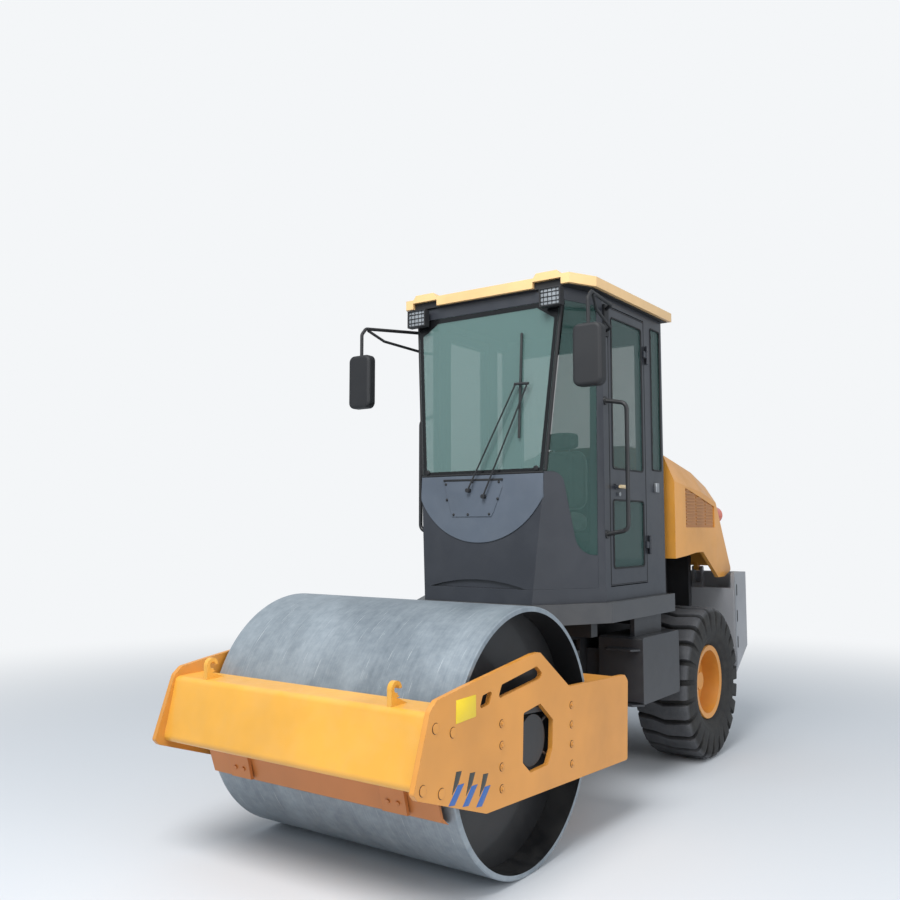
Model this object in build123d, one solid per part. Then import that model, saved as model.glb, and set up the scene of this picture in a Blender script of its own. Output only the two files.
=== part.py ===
from build123d import *
import math
import os

# Road roller with one smooth drum in front and two driven tyres behind, hinged at its middle.
# Millimetres. +X is forward, +Y is the machine's left, +Z is up.
# The origin is on the ground, at the middle of the machine's length and width.

# Whole machine
drum_radius = 625.0
drum_width = 1530.0
wheel_base = 2670.0
front_reach = 945.0
rear_reach = 880.0
drum_x = (wheel_base + rear_reach - front_reach) / 2
axle_x = drum_x - wheel_base
rear_x = axle_x - rear_reach
move_gap = 6.0
seat_gap = 0.3
pin_gap = 0.3

# Drum
drum_wall = 25.0
head_recess = 150.0
head_thick = 20.0
drum_hub_radius = 130.0
drum_hub_reach = 70.0
journal_radius = 70.0

# Drum frame
plate_clearance = 23.0
plate_inner = drum_width / 2 + plate_clearance
plate_thick = 25.0
plate_outer = plate_inner + plate_thick
beam_wall = 12.0
beam_low = 575.0
beam_top = 885.0
beam_back = 650.0
hook_thick = 25.0
hook_radius = 16.0
hook_centre_z = 953.0
hook_wall = 19.0
hook_y = plate_inner - 205.0
hook_x = drum_x + 783.0
rear_beam_front = 705.0
rear_beam_back = 930.0
rear_beam_low = 430.0
rear_beam_top = 800.0
scraper_gap = 10.0
scraper_thick = 16.0
scraper_half = drum_width / 2 - 45.0
bolt_radius = 17.0

# Middle joint
pivot_x = drum_x - 1250.0
joint_z = 640.0
pivot_pin_radius = 35.0
fork_gap = 170.0
fork_thick = 40.0
swing_shaft_radius = 60.0
swing_house_radius = 130.0
arm_forward = 60.0
arm_side = 200.0
arm_gap = 42.0
arm_thick = 22.0

# Steering cylinders
cylinder_radius = 40.0
ram_radius = 22.0
eye_radius = 34.0
eye_half = 28.0
cylinder_pin_radius = 15.0
cylinder_root_x = pivot_x - 520.0
cylinder_root_y = 205.0
cylinder_body = 330.0

# Rear frame
rail_inner = 268.0
rail_thick = 26.0
rail_low = 430.0
rail_arch = 640.0
rail_top = 985.0
rail_front = pivot_x - 200.0
rail_back = axle_x - 600.0
deck_top = 1190.0
deck_depth = 118.0
deck_edge = 45.0
tank_front = drum_x - 1500.0
tank_back = drum_x - 2085.0
tank_inner = 400.0
tank_outer = 700.0
tank_low = 545.0
tank_top = 950.0

# Wheels
tyre_radius = 529.0
tyre_width = 400.0
lug_count = 24
tyre_facets = lug_count
lug_height = 38.0
lug_share = 0.72
tyre_y = 533.0
rim_flange = 255.0
rim_seat = 232.0
hub_radius = 110.0
hub_reach = 64.0
hub_cap_radius = 62.0
hub_cap_reach = 92.0
spindle_radius = 50.0
axle_radius = 85.0
engine_low = 706.0
engine_top = 1480.0
engine_half = 235.0

# Cab
cab_floor = deck_top
cab_top = 3040.0
cab_front = drum_x - 700.0
cab_lean = 0.065
crease_low = 380.0
crease_high = 535.0
cab_corner = drum_x - 1140.0
cab_back = drum_x - 2050.0
cab_half = 630.0
cab_wall = 45.0
belt_z = 1955.0
header_z = cab_top - 75.0
glass_thick = 8.0
glass_inset = 4.0
glass_seal = 1.0
door_front = drum_x - 1212.0
door_back = drum_x - 1755.0
door_low = 1275.0
door_top = cab_top - 48.0
door_rail = 46.0
hinge_out = 16.0
hinge_radius = 11.0
hinge_pin_radius = 5.0

# Roof
roof_front = drum_x - 780.0
roof_front_half = 600.0
roof_corner = drum_x - 960.0
roof_half = 685.0
roof_back = drum_x - 2110.0
roof_lip = 24.0
roof_liner_thick = 42.0
roof_edge_low = cab_top + 6.0
roof_edge_top = cab_top + 66.0
roof_brow = 26.0
roof_crest = roof_edge_top + roof_brow

# Hood
hood_front = drum_x - 2190.0
hood_back = drum_x - 3460.0
hood_half = 650.0
hood_low = 1415.0
hood_wall = 28.0
hood_hinge_z = 1302.0

# Bumper
bumper_front = drum_x - 3275.0
bumper_half = 690.0
bumper_top = 1280.0
bumper_low = 520.0
bumper_rise = 180.0


def prism(axis, outline, low, high):
    """A flat outline across one axis, carried from low to high along it."""
    place = {
        "x": lambda a, b: (low, a, b),
        "y": lambda a, b: (a, low, b),
        "z": lambda a, b: (a, b, low),
    }[axis]
    face = make_face(Polyline(*[place(a, b) for a, b in outline], close=True))
    return extrude(face, amount=high - low, dir={"x": (1, 0, 0), "y": (0, 1, 0), "z": (0, 0, 1)}[axis])


def rounded_prism(axis, outline, radii, low, high):
    """The same, with each corner of the outline rounded by its own radius."""
    place = {
        "x": lambda a, b: (low, a, b),
        "y": lambda a, b: (a, low, b),
        "z": lambda a, b: (a, b, low),
    }[axis]
    path = FilletPolyline(*[place(a, b) for a, b in outline], radius=radii, close=True)
    face = make_face(path)
    return extrude(face, amount=high - low, dir={"x": (1, 0, 0), "y": (0, 1, 0), "z": (0, 0, 1)}[axis])


def block(x0, x1, y0, y1, z0, z1):
    size = Box(abs(x1 - x0), abs(y1 - y0), abs(z1 - z0))
    return Pos((x0 + x1) / 2, (y0 + y1) / 2, (z0 + z1) / 2) * size


def bar(start, end, radius):
    """A round bar between two points."""
    start = Vector(*start)
    run = Vector(*end) - start
    return Part() + Solid.make_cylinder(radius, run.length, Plane(origin=start, z_dir=run))


def tube(points, bend, radius):
    """A round tube along straight runs joined by arcs."""
    path = FilletPolyline(*points, radius=bend)
    return sweep(Plane(origin=path @ 0, z_dir=path % 0) * Circle(radius), path=path)


def mirrored(shape):
    """The same shape on the machine's other side."""
    return mirror(shape, about=Plane.XZ)


def inset_outline(points, distance):
    """A convex plan outline with every side moved inwards."""
    lines = []
    count = len(points)
    for i, (x0, y0) in enumerate(points):
        x1, y1 = points[(i + 1) % count]
        length = math.hypot(x1 - x0, y1 - y0)
        nx, ny = (y0 - y1) / length, (x1 - x0) / length
        lines.append((nx, ny, nx * x0 + ny * y0 + distance))
    corners = []
    for i in range(count):
        a, b, c = lines[i - 1]
        d, e, f = lines[i]
        det = a * e - b * d
        corners.append(((c * e - b * f) / det, (a * f - c * d) / det))
    return corners


# Cab shape, shared by every panel and pane of the cab
def crease(z):
    """Half width of the flat front at a height."""
    return crease_low + (crease_high - crease_low) * (z - cab_floor) / (cab_top - cab_floor)


def front_face(z):
    return cab_front - cab_lean * (z - cab_floor)


def cab_outline(z, inset):
    x = front_face(z)
    half = crease(z)
    plan = [
        (x, -half),
        (x, half),
        (cab_corner, cab_half),
        (cab_back, cab_half),
        (cab_back, -cab_half),
        (cab_corner, -cab_half),
    ]
    return inset_outline(plan, inset)


def cab_block(z0, z1, inset):
    faces = [
        make_face(Polyline(*[(x, y, z) for x, y in cab_outline(z, inset)], close=True)) for z in (z0, z1)
    ]
    return loft(faces, ruled=True)


def cab_shell(z0, z1, outer, inner):
    return cab_block(z0, z1, outer) - cab_block(z0 - 5, z1 + 5, inner)


def between_creases(z0, z1, margin):
    """All that lies between the two slanted creases of the front."""
    outline = [
        (-crease(z0) + margin, z0),
        (crease(z0) - margin, z0),
        (crease(z1) - margin, z1),
        (-crease(z1) + margin, z1),
    ]
    return prism("x", outline, cab_corner - 10, cab_front + 60)


pillar_x = cab_corner + 45
foot_bend_top = drum_x - 862.0
foot_bend_low = drum_x - 975.0
foot_low = 1468.0


def below_glass(drop):
    """All that lies below the windscreen and the curved foot of the corner panes."""
    outline = [
        (cab_front + 200, 0, cab_floor - 50),
        (cab_front + 200, 0, belt_z - drop),
        (foot_bend_top, 0, belt_z - drop),
        (foot_bend_low, 0, foot_low - drop),
        (cab_corner - 100, 0, foot_low - drop),
        (cab_corner - 100, 0, cab_floor - 50),
    ]
    path = FilletPolyline(*outline, radius=[1, 1, 80, 130, 1, 1], close=True)
    return extrude(make_face(path), amount=cab_half + 50, dir=(0, 1, 0), both=True)


def ahead_of_pillars(z0, z1):
    return block(pillar_x, cab_front + 100, -cab_half - 50, cab_half + 50, z0, z1)


def side_opening(x0, x1, z0, z1):
    """A cutter through both side walls."""
    return block(x1, x0, -cab_half - 40, cab_half + 40, z0, z1)


quarter_front = drum_x - 1862.0
quarter_back = drum_x - 2012.0
quarter_low = 2010.0
rear_pane_half = 470.0
rear_pane_low = 1985.0
rear_pane_top = header_z - 65.0
rear_wall_half = 560.0


def door_hinge_heights():
    return (1519.0, 2765.0)


hinge_x = door_back - 14
hinge_y = cab_half + hinge_out


def cab_frame():
    """Sill, floor, pillars and header of the cab, with the fixed half of each door hinge."""
    wall = cab_shell(cab_floor, cab_top, 0, cab_wall)
    wall -= ahead_of_pillars(cab_floor + 85, header_z)
    wall -= side_opening(door_front, door_back, door_low, door_top)
    wall -= side_opening(quarter_front, quarter_back, quarter_low, header_z)
    wall -= block(cab_back - 10, cab_back + cab_wall + 1, -rear_wall_half, rear_wall_half, door_low, header_z)
    wall += cab_block(cab_floor, cab_floor + 35, cab_wall - 5)
    for z in door_hinge_heights():
        leaf = block(hinge_x - 34, hinge_x, cab_half - 1, cab_half + 5, z - 60, z + 60)
        leaf -= block(hinge_x - 14, hinge_x + 1, cab_half - 2, cab_half + 6, z - 22, z + 22)
        pin = bar((hinge_x, hinge_y, z - 60), (hinge_x, hinge_y, z + 60), hinge_pin_radius)
        side = leaf + pin
        for low in (z - 60, z + 22):
            side += bar((hinge_x, hinge_y, low), (hinge_x, hinge_y, low + 38), hinge_radius)
            side += block(hinge_x - 10, hinge_x, cab_half, hinge_y, low, low + 38)
        wall += side
        wall += mirrored(side)
    return wall


arch_half = 335.0
arch_top = 1322.0
arch_depth = 16.0


def front_panel():
    """Pressed steel panel below the windscreen and the corner panes."""
    low = cab_floor + 85 + seat_gap
    panel = cab_shell(low, belt_z + 20, 0, cab_wall)
    panel &= ahead_of_pillars(low, belt_z + 20) - block(pillar_x - 1, pillar_x + seat_gap, -900, 900, 0, 3000)
    panel &= below_glass(glass_seal)
    arch = ThreePointArc((0, -arch_half, low), (0, 0, arch_top), (0, arch_half, low))
    area = make_face([arch, Polyline((0, arch_half, low), (0, arch_half, low - 40), (0, -arch_half, low - 40), (0, -arch_half, low))])
    pocket = cab_shell(low - 30, arch_top + 10, -5, arch_depth)
    return panel - (pocket & extrude(area, amount=cab_front + 200, dir=(1, 0, 0)))


def shield_panel():
    """Lighter plate on the front panel, with the service cover on it."""
    skin = 6.0
    top = belt_z - 12
    side_low = 1805.0
    tip = 1540.0
    plate = cab_shell(tip - 20, top, -skin, 0)
    half = crease(top) - 6
    edge = ThreePointArc((0, -half, side_low), (0, 0, tip), (0, half, side_low))
    frame = Polyline((0, half, side_low), (0, half, top), (0, -half, top), (0, -half, side_low))
    area = extrude(make_face([edge, frame]), amount=cab_front + 200, dir=(1, 0, 0))
    plate &= area
    cover = cab_shell(1693.0, 1918.0, -skin - 4, -skin)
    shape = [(-262, 1906), (-232, 1916), (156, 1912), (164, 1868), (108, 1722), (92, 1695), (-192, 1695)]
    cover &= prism("x", shape, 0, cab_front + 200)
    return plate + cover


def rear_wall():
    """Back wall of the cab, as thick as the frame, with the rear window cut in it."""
    wall = block(
        cab_back,
        cab_back + cab_wall,
        -rear_wall_half + seat_gap,
        rear_wall_half - seat_gap,
        door_low + seat_gap,
        header_z - seat_gap,
    )
    wall -= block(
        cab_back - 5,
        cab_back + cab_wall + 5,
        -rear_pane_half,
        rear_pane_half,
        rear_pane_low,
        rear_pane_top,
    )
    return wall


def windscreen():
    low = belt_z
    pane = cab_shell(low, header_z - seat_gap, glass_inset, glass_inset + glass_thick)
    return pane & between_creases(low, header_z, 12) & ahead_of_pillars(low, header_z)


def side_glass():
    """Curved-foot corner panes and rear quarter panes, two of each."""
    low = 1460.0
    corner = cab_shell(low, header_z - seat_gap, glass_inset, glass_inset + glass_thick)
    corner &= ahead_of_pillars(low, header_z) - block(
        pillar_x - 1, pillar_x + seat_gap, -900, 900, 0, 3000
    )
    corner -= below_glass(0)
    corner -= between_creases(low - 5, header_z + 5, -6)
    corner -= block(front_face(belt_z) - 12, cab_front + 100, -900, 900, 0, belt_z)
    panes = [s for s in corner.solids()]
    y1 = cab_half - glass_inset
    quarter = block(
        quarter_back + seat_gap,
        quarter_front - seat_gap,
        y1 - glass_thick,
        y1,
        quarter_low + seat_gap,
        header_z - seat_gap,
    )
    return Part() + panes + [quarter, mirrored(quarter)]


def rear_glass():
    return block(
        cab_back + glass_inset,
        cab_back + glass_inset + glass_thick,
        -rear_pane_half + seat_gap,
        rear_pane_half - seat_gap,
        rear_pane_low + seat_gap,
        rear_pane_top - seat_gap,
    )


def roof_outline(inset):
    plan = [
        (roof_front, -roof_front_half),
        (roof_front, roof_front_half),
        (roof_corner, roof_half),
        (roof_back, roof_half),
        (roof_back, -roof_half),
        (roof_corner, -roof_half),
    ]
    return inset_outline(plan, inset)


def roof_liner():
    return prism("z", roof_outline(roof_lip + seat_gap), cab_top + seat_gap, cab_top + roof_liner_thick)


lamp_y = 489.0
lamp_half = 70.0
lamp_top = cab_top - 14.0
lamp_low = lamp_top - 110.0
lamp_face = drum_x - 742.0
lamp_depth = 62.0


def roof_cap():
    """Outer roof skin with a turned-down rim and a raised brow over each lamp."""
    cap = prism("z", roof_outline(0), roof_edge_low, roof_edge_top)
    cap -= prism("z", roof_outline(roof_lip), roof_edge_low - 5, cab_top + roof_liner_thick + seat_gap)
    for side in (-1, 1):
        low, high = sorted((side * (lamp_y - 135), side * (lamp_y + 55)))
        brow = [
            make_face(
                Polyline(
                    (roof_front, low, roof_edge_top - 5),
                    (roof_front, high, roof_edge_top - 5),
                    (roof_front, high - 25, roof_crest),
                    (roof_front, low + 25, roof_crest),
                    close=True,
                )
            ),
            make_face(
                Polyline(
                    (roof_front - 620, low + 40, roof_edge_top - 5),
                    (roof_front - 620, high - 40, roof_edge_top - 5),
                    (roof_front - 620, high - 65, roof_edge_top + 1),
                    (roof_front - 620, low + 65, roof_edge_top + 1),
                    close=True,
                )
            ),
        ]
        cap += loft(brow, ruled=True)
        cap -= block(roof_front - 60, roof_front + 5, low, high, roof_edge_low - 5, roof_edge_low + 38)
    return cap


def work_lamps():
    """Two box lamps under the roof's front edge, each on a bracket, with a grid over its lens."""
    x0 = lamp_face - lamp_depth
    lamp = block(x0, lamp_face, lamp_y - lamp_half, lamp_y + lamp_half, lamp_low, lamp_top)
    lamp = chamfer(lamp.edges().group_by(Axis.X)[0], 14)
    lamp -= block(
        lamp_face - 10, lamp_face + 1, lamp_y - lamp_half + 8, lamp_y + lamp_half - 8, lamp_low + 8, lamp_top - 8
    )
    for i in range(1, 4):
        z = lamp_low + i * (lamp_top - lamp_low) / 4
        lamp += block(lamp_face - 11, lamp_face - 2, lamp_y - lamp_half + 4, lamp_y + lamp_half - 4, z - 2, z + 2)
    for i in range(1, 5):
        y = lamp_y - lamp_half + i * lamp_half * 2 / 5
        lamp += block(lamp_face - 11, lamp_face - 4, y - 2, y + 2, lamp_low + 4, lamp_top - 4)
    lamp += block(x0 - 12, x0 + 20, lamp_y - 25, lamp_y + 25, lamp_top - 5, cab_top)
    return Part() + [lamp, mirrored(lamp)]


mirror_x = drum_x - 589.0
mirror_y = 815.0
mirror_low = 2395.0
mirror_top = 2740.0
mirror_half = 88.0
mirror_depth = 62.0
arm_radius = 11.0


def mirrors():
    """Two mirror heads on bent tubes from the cab's front corners."""
    head = block(
        mirror_x - mirror_depth / 2,
        mirror_x + mirror_depth / 2,
        mirror_y - mirror_half,
        mirror_y + mirror_half,
        mirror_low,
        mirror_top,
    )
    head = fillet(head.edges().filter_by(Axis.X), 40)
    head = fillet(head.edges().group_by(Axis.X)[-1], 20)
    head -= block(mirror_x - 40, mirror_x - 26, mirror_y - 76, mirror_y + 76, mirror_low + 14, mirror_top - 14)
    head += block(mirror_x - 27, mirror_x - 25, mirror_y - 76, mirror_y + 76, mirror_low + 14, mirror_top - 14)
    root_x = cab_corner - 36
    upper = [
        (root_x, cab_half + 8, 2955),
        (root_x + 60, cab_half + 70, 2965),
        (mirror_x - 40, mirror_y, 2925),
        (mirror_x, mirror_y, 2880),
        (mirror_x, mirror_y, mirror_top - 5),
    ]
    lower = [
        (root_x, cab_half + 8, 2822),
        (root_x + 60, cab_half + 66, 2826),
        (mirror_x - 180, mirror_y - 40, 2860),
        (mirror_x - 60, mirror_y, 2917),
    ]
    plate = block(root_x - 28, root_x + 28, cab_half, cab_half + 14, 2790, 2985)
    side = head + tube(upper, 30, arm_radius) + tube(lower, 24, arm_radius - 2) + plate
    return Part() + [side, mirrored(side)]


grab_x = cab_corner - 25
grab_y = 770.0
grab_low = 1590.0
grab_top = 2395.0
grab_radius = 13.0


def grab_handles():
    """A bent tube beside each door, on two feet."""
    points = [
        (grab_x, cab_half + 5, grab_low),
        (grab_x, grab_y, grab_low + 25),
        (grab_x, grab_y, grab_top - 25),
        (grab_x, cab_half + 5, grab_top),
    ]
    side = tube(points, 45, grab_radius)
    for z in (grab_low, grab_top):
        side += bar((grab_x, cab_half, z), (grab_x, cab_half + 8, z), 26)
    return Part() + [side, mirrored(side)]


def wiper():
    """Two linked arms and one upright blade in front of the windscreen."""
    z0 = 1835.0
    z1 = 2480.0
    x0 = front_face(z0) + 14
    x1 = front_face(z1) + 14
    seat = front_face(z0 - 33) + 10 + seat_gap
    parts = [bar((seat, y, z0 + d), (x0 + 26, y, z0 + d), 13) for y, d in ((-68, 18), (43, -20))]
    shape = parts[0] + parts[1]
    shape += bar((x0 + 18, -68, z0 + 18), (x1 + 14, 248, z1), 5)
    shape += bar((x0 + 18, 43, z0 - 20), (x1 + 14, 329, z1 - 4), 5)
    shape += bar((x1 + 14, 240, z1), (x1 + 14, 337, z1 - 5), 8)
    low, high = 2155.0, 2790.0
    blade = bar((front_face(low) + 10, 270, low), (front_face(high) + 10, 270, high), 7)
    shape += blade
    shape += bar((front_face(z1) + 8, 270, z1 - 2), (x1 + 18, 270, z1 - 2), 8)
    return shape


seat_x = drum_x - 1590.0
seat_top = 1730.0


def seat_base():
    """Pedestal and pan under the seat."""
    base = block(seat_x - 190, seat_x + 190, -190, 190, cab_floor + 35 + seat_gap, seat_top - 190)
    base = chamfer(base.edges().filter_by(Axis.Z), 30)
    pan = block(seat_x - 235, seat_x + 245, -235, 235, seat_top - 190, seat_top - 135)
    pan = chamfer(pan.edges().filter_by(Axis.Z), 40)
    back = block(seat_x - 262, seat_x - 234, -170, 170, seat_top - 190, seat_top + 380)
    return base + pan + back


def seat_cushions():
    """Seat cushion and backrest, plain closed solids."""
    cushion = block(seat_x - 215, seat_x + 255, -240, 240, seat_top - 135 + seat_gap, seat_top)
    cushion = fillet(cushion.edges().filter_by(Axis.Z), 60)
    cushion = fillet(cushion.edges().group_by(Axis.Z)[-1], 30)
    outline = [(-234 + seat_gap, 10), (-234 + seat_gap, 560), (-150, 560), (-100, 10)]
    back = prism("y", [(seat_x + x, seat_top + z) for x, z in outline], -220, 220)
    back = fillet(back.edges().filter_by(Axis.Y), 25)
    return Part() + [cushion, back]


def steering_console():
    """Dash box, column and steering wheel."""
    x = drum_x - 1010.0
    floor = cab_floor + 35 + seat_gap
    dash = prism(
        "y",
        [(x + 60, floor), (x + 100, 1780), (x + 60, 1900), (x - 60, 1840), (x - 40, floor)],
        -170,
        170,
    )
    wheel_centre = Vector(x - 190, 0, 1900)
    tilt = Plane(origin=wheel_centre, z_dir=(-0.45, 0, 0.893))
    ring = tilt * Torus(185, 14)
    hub = tilt * Cylinder(38, 40)
    spokes = [tilt * Rot(0, 0, 90 + 120 * i) * Pos(92, 0, 0) * Box(190, 26, 12) for i in range(3)]
    foot = wheel_centre + Vector(0.45, 0, -0.893) * 170
    column = bar(tuple(wheel_centre), (foot.X, foot.Y, foot.Z), 30)
    link = bar((foot.X, 0, foot.Z), (x, 0, 1700), 45)
    return dash + link + column + hub + spokes + ring


def deck():
    """Platform under the cab, with a deep turned-down edge all round."""
    outline = cab_outline(cab_floor, -deck_edge)
    plate = prism("z", outline, deck_top - deck_depth, deck_top - seat_gap)
    plate -= prism("z", inset_outline(outline, 30), deck_top - deck_depth - 5, deck_top - 30)
    return plate


def chassis():
    """Two rails, cross members and the fork that holds the middle joint."""
    rail_outline = [
        (rail_front, rail_low),
        (axle_x + 420, rail_low),
        (axle_x + 230, rail_arch),
        (rail_back, rail_arch),
        (rail_back, rail_top),
        (rail_front, rail_top),
    ]
    rail = prism("y", rail_outline, rail_inner, rail_inner + rail_thick)
    body = rail + mirrored(rail)
    fork_outline = [
        (pivot_x - 20, 110),
        (rail_front + 10, rail_inner + rail_thick),
        (rail_front - 300, rail_inner + rail_thick),
        (rail_front - 300, -rail_inner - rail_thick),
        (rail_front + 10, -rail_inner - rail_thick),
        (pivot_x - 20, -110),
    ]
    for low in (joint_z - fork_gap - fork_thick, joint_z + fork_gap):
        plate = prism("z", fork_outline, low, low + fork_thick)
        plate += bar((pivot_x, 0, low), (pivot_x, 0, low + fork_thick), 110)
        plate -= bar((pivot_x, 0, low - 1), (pivot_x, 0, low + fork_thick + 1), pivot_pin_radius + pin_gap)
        body += plate
    for x, low in ((cylinder_root_x - 100, rail_low + 60), (axle_x + 600, rail_low + 60)):
        body += block(x - 20, x + 20, -rail_inner - 1, rail_inner + 1, low, rail_top - 60)
    for x in (axle_x + 240, axle_x - 300):
        body += block(x - 45, x + 45, -rail_inner - 1, rail_inner + 1, rail_arch, engine_low - seat_gap)
    root = prism(
        "z",
        [
            (cylinder_root_x + 30, cylinder_root_y - 45),
            (cylinder_root_x + 30, cylinder_root_y + 45),
            (cylinder_root_x - 82, cylinder_root_y + 45),
            (cylinder_root_x - 82, cylinder_root_y - 45),
        ],
        joint_z - eye_half - 3 - arm_thick,
        joint_z + eye_half + 3 + arm_thick,
    )
    root -= block(
        cylinder_root_x - 66,
        cylinder_root_x + 60,
        cylinder_root_y - 70,
        cylinder_root_y + 70,
        joint_z - eye_half - 3,
        joint_z + eye_half + 3,
    )
    root += bar(
        (cylinder_root_x, cylinder_root_y, joint_z - eye_half - 4),
        (cylinder_root_x, cylinder_root_y, joint_z + eye_half + 4),
        cylinder_pin_radius,
    )
    body += root + mirrored(root)
    for x in (cab_front - 420, axle_x + 700):
        body += block(x - 40, x + 40, -560, 560, rail_top - 1, deck_top - 30 - seat_gap)
    for y in (-rail_inner - 13, rail_inner + 13):
        body += block(cab_front - 420, axle_x + 700, y - 13, y + 13, rail_top - 60, deck_top - 60)
    return body


def side_tanks():
    """Box tank under each side of the deck, with a small step plate in front."""
    tank = block(tank_back, tank_front, tank_inner, tank_outer, tank_low, tank_top)
    tank = chamfer(tank.edges().filter_by(Axis.Y), 12)
    tank += block(tank_back + 40, tank_front - 40, rail_inner + rail_thick + seat_gap, tank_inner + 1, 640, 860)
    for low, reach in ((868.0, 55.0), (tank_low - 12, 40.0)):
        tank += prism(
            "z",
            [
                (tank_front - 20, tank_inner + 30),
                (tank_front + reach, tank_inner + 80),
                (tank_front + reach, tank_outer - 60),
                (tank_front - 20, tank_outer - 4),
            ],
            low,
            low + 12,
        )
    tank += block(
        tank_back + 80, tank_front - 80, tank_outer - 120, tank_outer - 90, tank_top - 1, deck_top - 30 - seat_gap
    )
    return Part() + [tank, mirrored(tank)]


def rear_axle():
    """Axle beam with its bulge, spring pads and hub flanges."""
    z = tyre_radius
    reach = tyre_y - hub_reach - move_gap
    body = bar((axle_x, -reach, z), (axle_x, reach, z), axle_radius)
    body += Pos(axle_x, 0, z) * Sphere(170)
    for side in (-1, 1):
        y0 = side * (tyre_y - hub_reach - move_gap - 1)
        y1 = side * (tyre_y - 14)
        body += bar((axle_x, y0, z), (axle_x, y1, z), spindle_radius)
        y3 = side * (rail_inner - 30)
        y4 = side * (rail_inner + rail_thick + 14)
        body += block(axle_x - 90, axle_x + 90, y3, y4, z, rail_arch - seat_gap)
    return body


def ring(radius, y):
    """Corners of a many-sided outline round the wheel's axle, its flats as far out as the radius."""
    reach = radius / math.cos(math.pi / tyre_facets)
    turns = [2 * math.pi * (i + 0.5) / tyre_facets for i in range(tyre_facets)]
    return [(axle_x + reach * math.sin(t), tyre_y + y, tyre_radius - reach * math.cos(t)) for t in turns]


def turned(profile):
    """A body of flat facets round the axle, from its radius at each place across the tyre."""
    rings = [ring(radius, y) for y, radius in profile]
    corners = [rings[0], rings[-1]]
    for low, high in zip(rings, rings[1:]):
        corners += [(low[i - 1], low[i], high[i], high[i - 1]) for i in range(tyre_facets)]
    return Part() + Solid(Shell([Face(Wire.make_polygon(list(points))) for points in corners]))


def lug(turn):
    """One zigzag bar across the tread, pointed forward of its ends."""
    half = tyre_width / 2
    width = 2 * math.pi * tyre_radius / lug_count * lug_share
    line = [(-half - 2, 20), (-half * 0.5, 14), (half * 0.05, -22), (half + 2, -2)]
    edge = [(y, s - width / 2) for y, s in line] + [(y, s + width / 2) for y, s in reversed(line)]
    bar_face = make_face(Polyline(*[(axle_x + s, tyre_y + y, 0) for y, s in edge], close=True))
    block_up = Part() + extrude(bar_face, amount=tyre_radius - rim_flange - 170, dir=(0, 0, 1))
    return block_up.rotate(Axis((axle_x, 0, tyre_radius), (0, 1, 0)), turn)


def tyre():
    """Left tyre: faceted casing, tread lugs out to the full radius, dished sides and the bore."""
    half = tyre_width / 2
    shoulder = tyre_radius - 60
    crown = tyre_radius
    envelope = [(0.7 * half, crown), (0.9 * half, crown - 14), (half, shoulder), (half, shoulder - 90)]
    inside = [(0.7 * half, crown - lug_height), (0.86 * half, shoulder - 4), (half - 14, shoulder - 70), (half - 2, shoulder - 90)]
    outer = turned([(-y, r) for y, r in reversed(envelope[:3])] + envelope[:3])
    casing = turned([(-y, r) for y, r in reversed(inside)] + inside)
    bars = [lug(i * 360 / lug_count) for i in range(lug_count)]
    body = casing + ((Part() + bars) & outer)
    seat = rim_seat + seat_gap
    hollow = [(0.62 * half, seat), (0.8 * half, rim_flange + 24), (half + 1, rim_flange + 100)]
    dish = turned(hollow) + turned([(-y, r) for y, r in reversed(hollow)])
    bore = turned([(-half, rim_seat + seat_gap), (half, rim_seat + seat_gap)])
    return body - dish - bore


def rim():
    """Deep dish rim with its disc, bolts round the hub and both flanges."""
    half = tyre_width / 2
    flange = half * 0.8 - 6
    profile = [
        (rim_seat - 12, -flange),
        (rim_flange, -flange - 4),
        (rim_flange + 4, -flange + 8),
        (rim_seat, -flange + 18),
        (rim_seat, flange - 18),
        (rim_flange + 4, flange - 8),
        (rim_flange, flange + 4),
        (rim_seat - 12, flange),
        (rim_seat - 14, flange - 30),
        (rim_seat - 14, 26),
        (170, 10),
        (60, 10),
        (60, -4),
        (170, -4),
        (rim_seat - 14, 12),
    ]
    face = make_face(
        Polyline(*[(axle_x, tyre_y + y, tyre_radius + r) for r, y in profile], close=True)
    )
    wheel = revolve(face, axis=Axis((axle_x, 0, tyre_radius), (0, 1, 0)))
    z = tyre_radius
    y0 = tyre_y - hub_reach
    y1 = tyre_y + hub_cap_reach
    wheel += bar((axle_x, y0, z), (axle_x, tyre_y, z), hub_radius)
    wheel += bar((axle_x, tyre_y - 5, z), (axle_x, y1, z), hub_cap_radius)
    wheel -= bar((axle_x, y0 - 1, z), (axle_x, tyre_y - 8, z), spindle_radius + pin_gap)
    for i in range(8):
        angle = math.radians(22.5 + 45 * i)
        x = axle_x + 90 * math.cos(angle)
        z = tyre_radius + 90 * math.sin(angle)
        wheel += bar((x, tyre_y + 9, z), (x, tyre_y + 26, z), 13)
    return wheel


def engine_block():
    """One plain block, as large as the engine and standing where it stands."""
    return block(axle_x - 370, axle_x + 300, -engine_half, engine_half, engine_low, engine_top)


def radiator():
    return block(axle_x - 455, axle_x - 400, -400, 400, rail_top + seat_gap, 1720)


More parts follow.
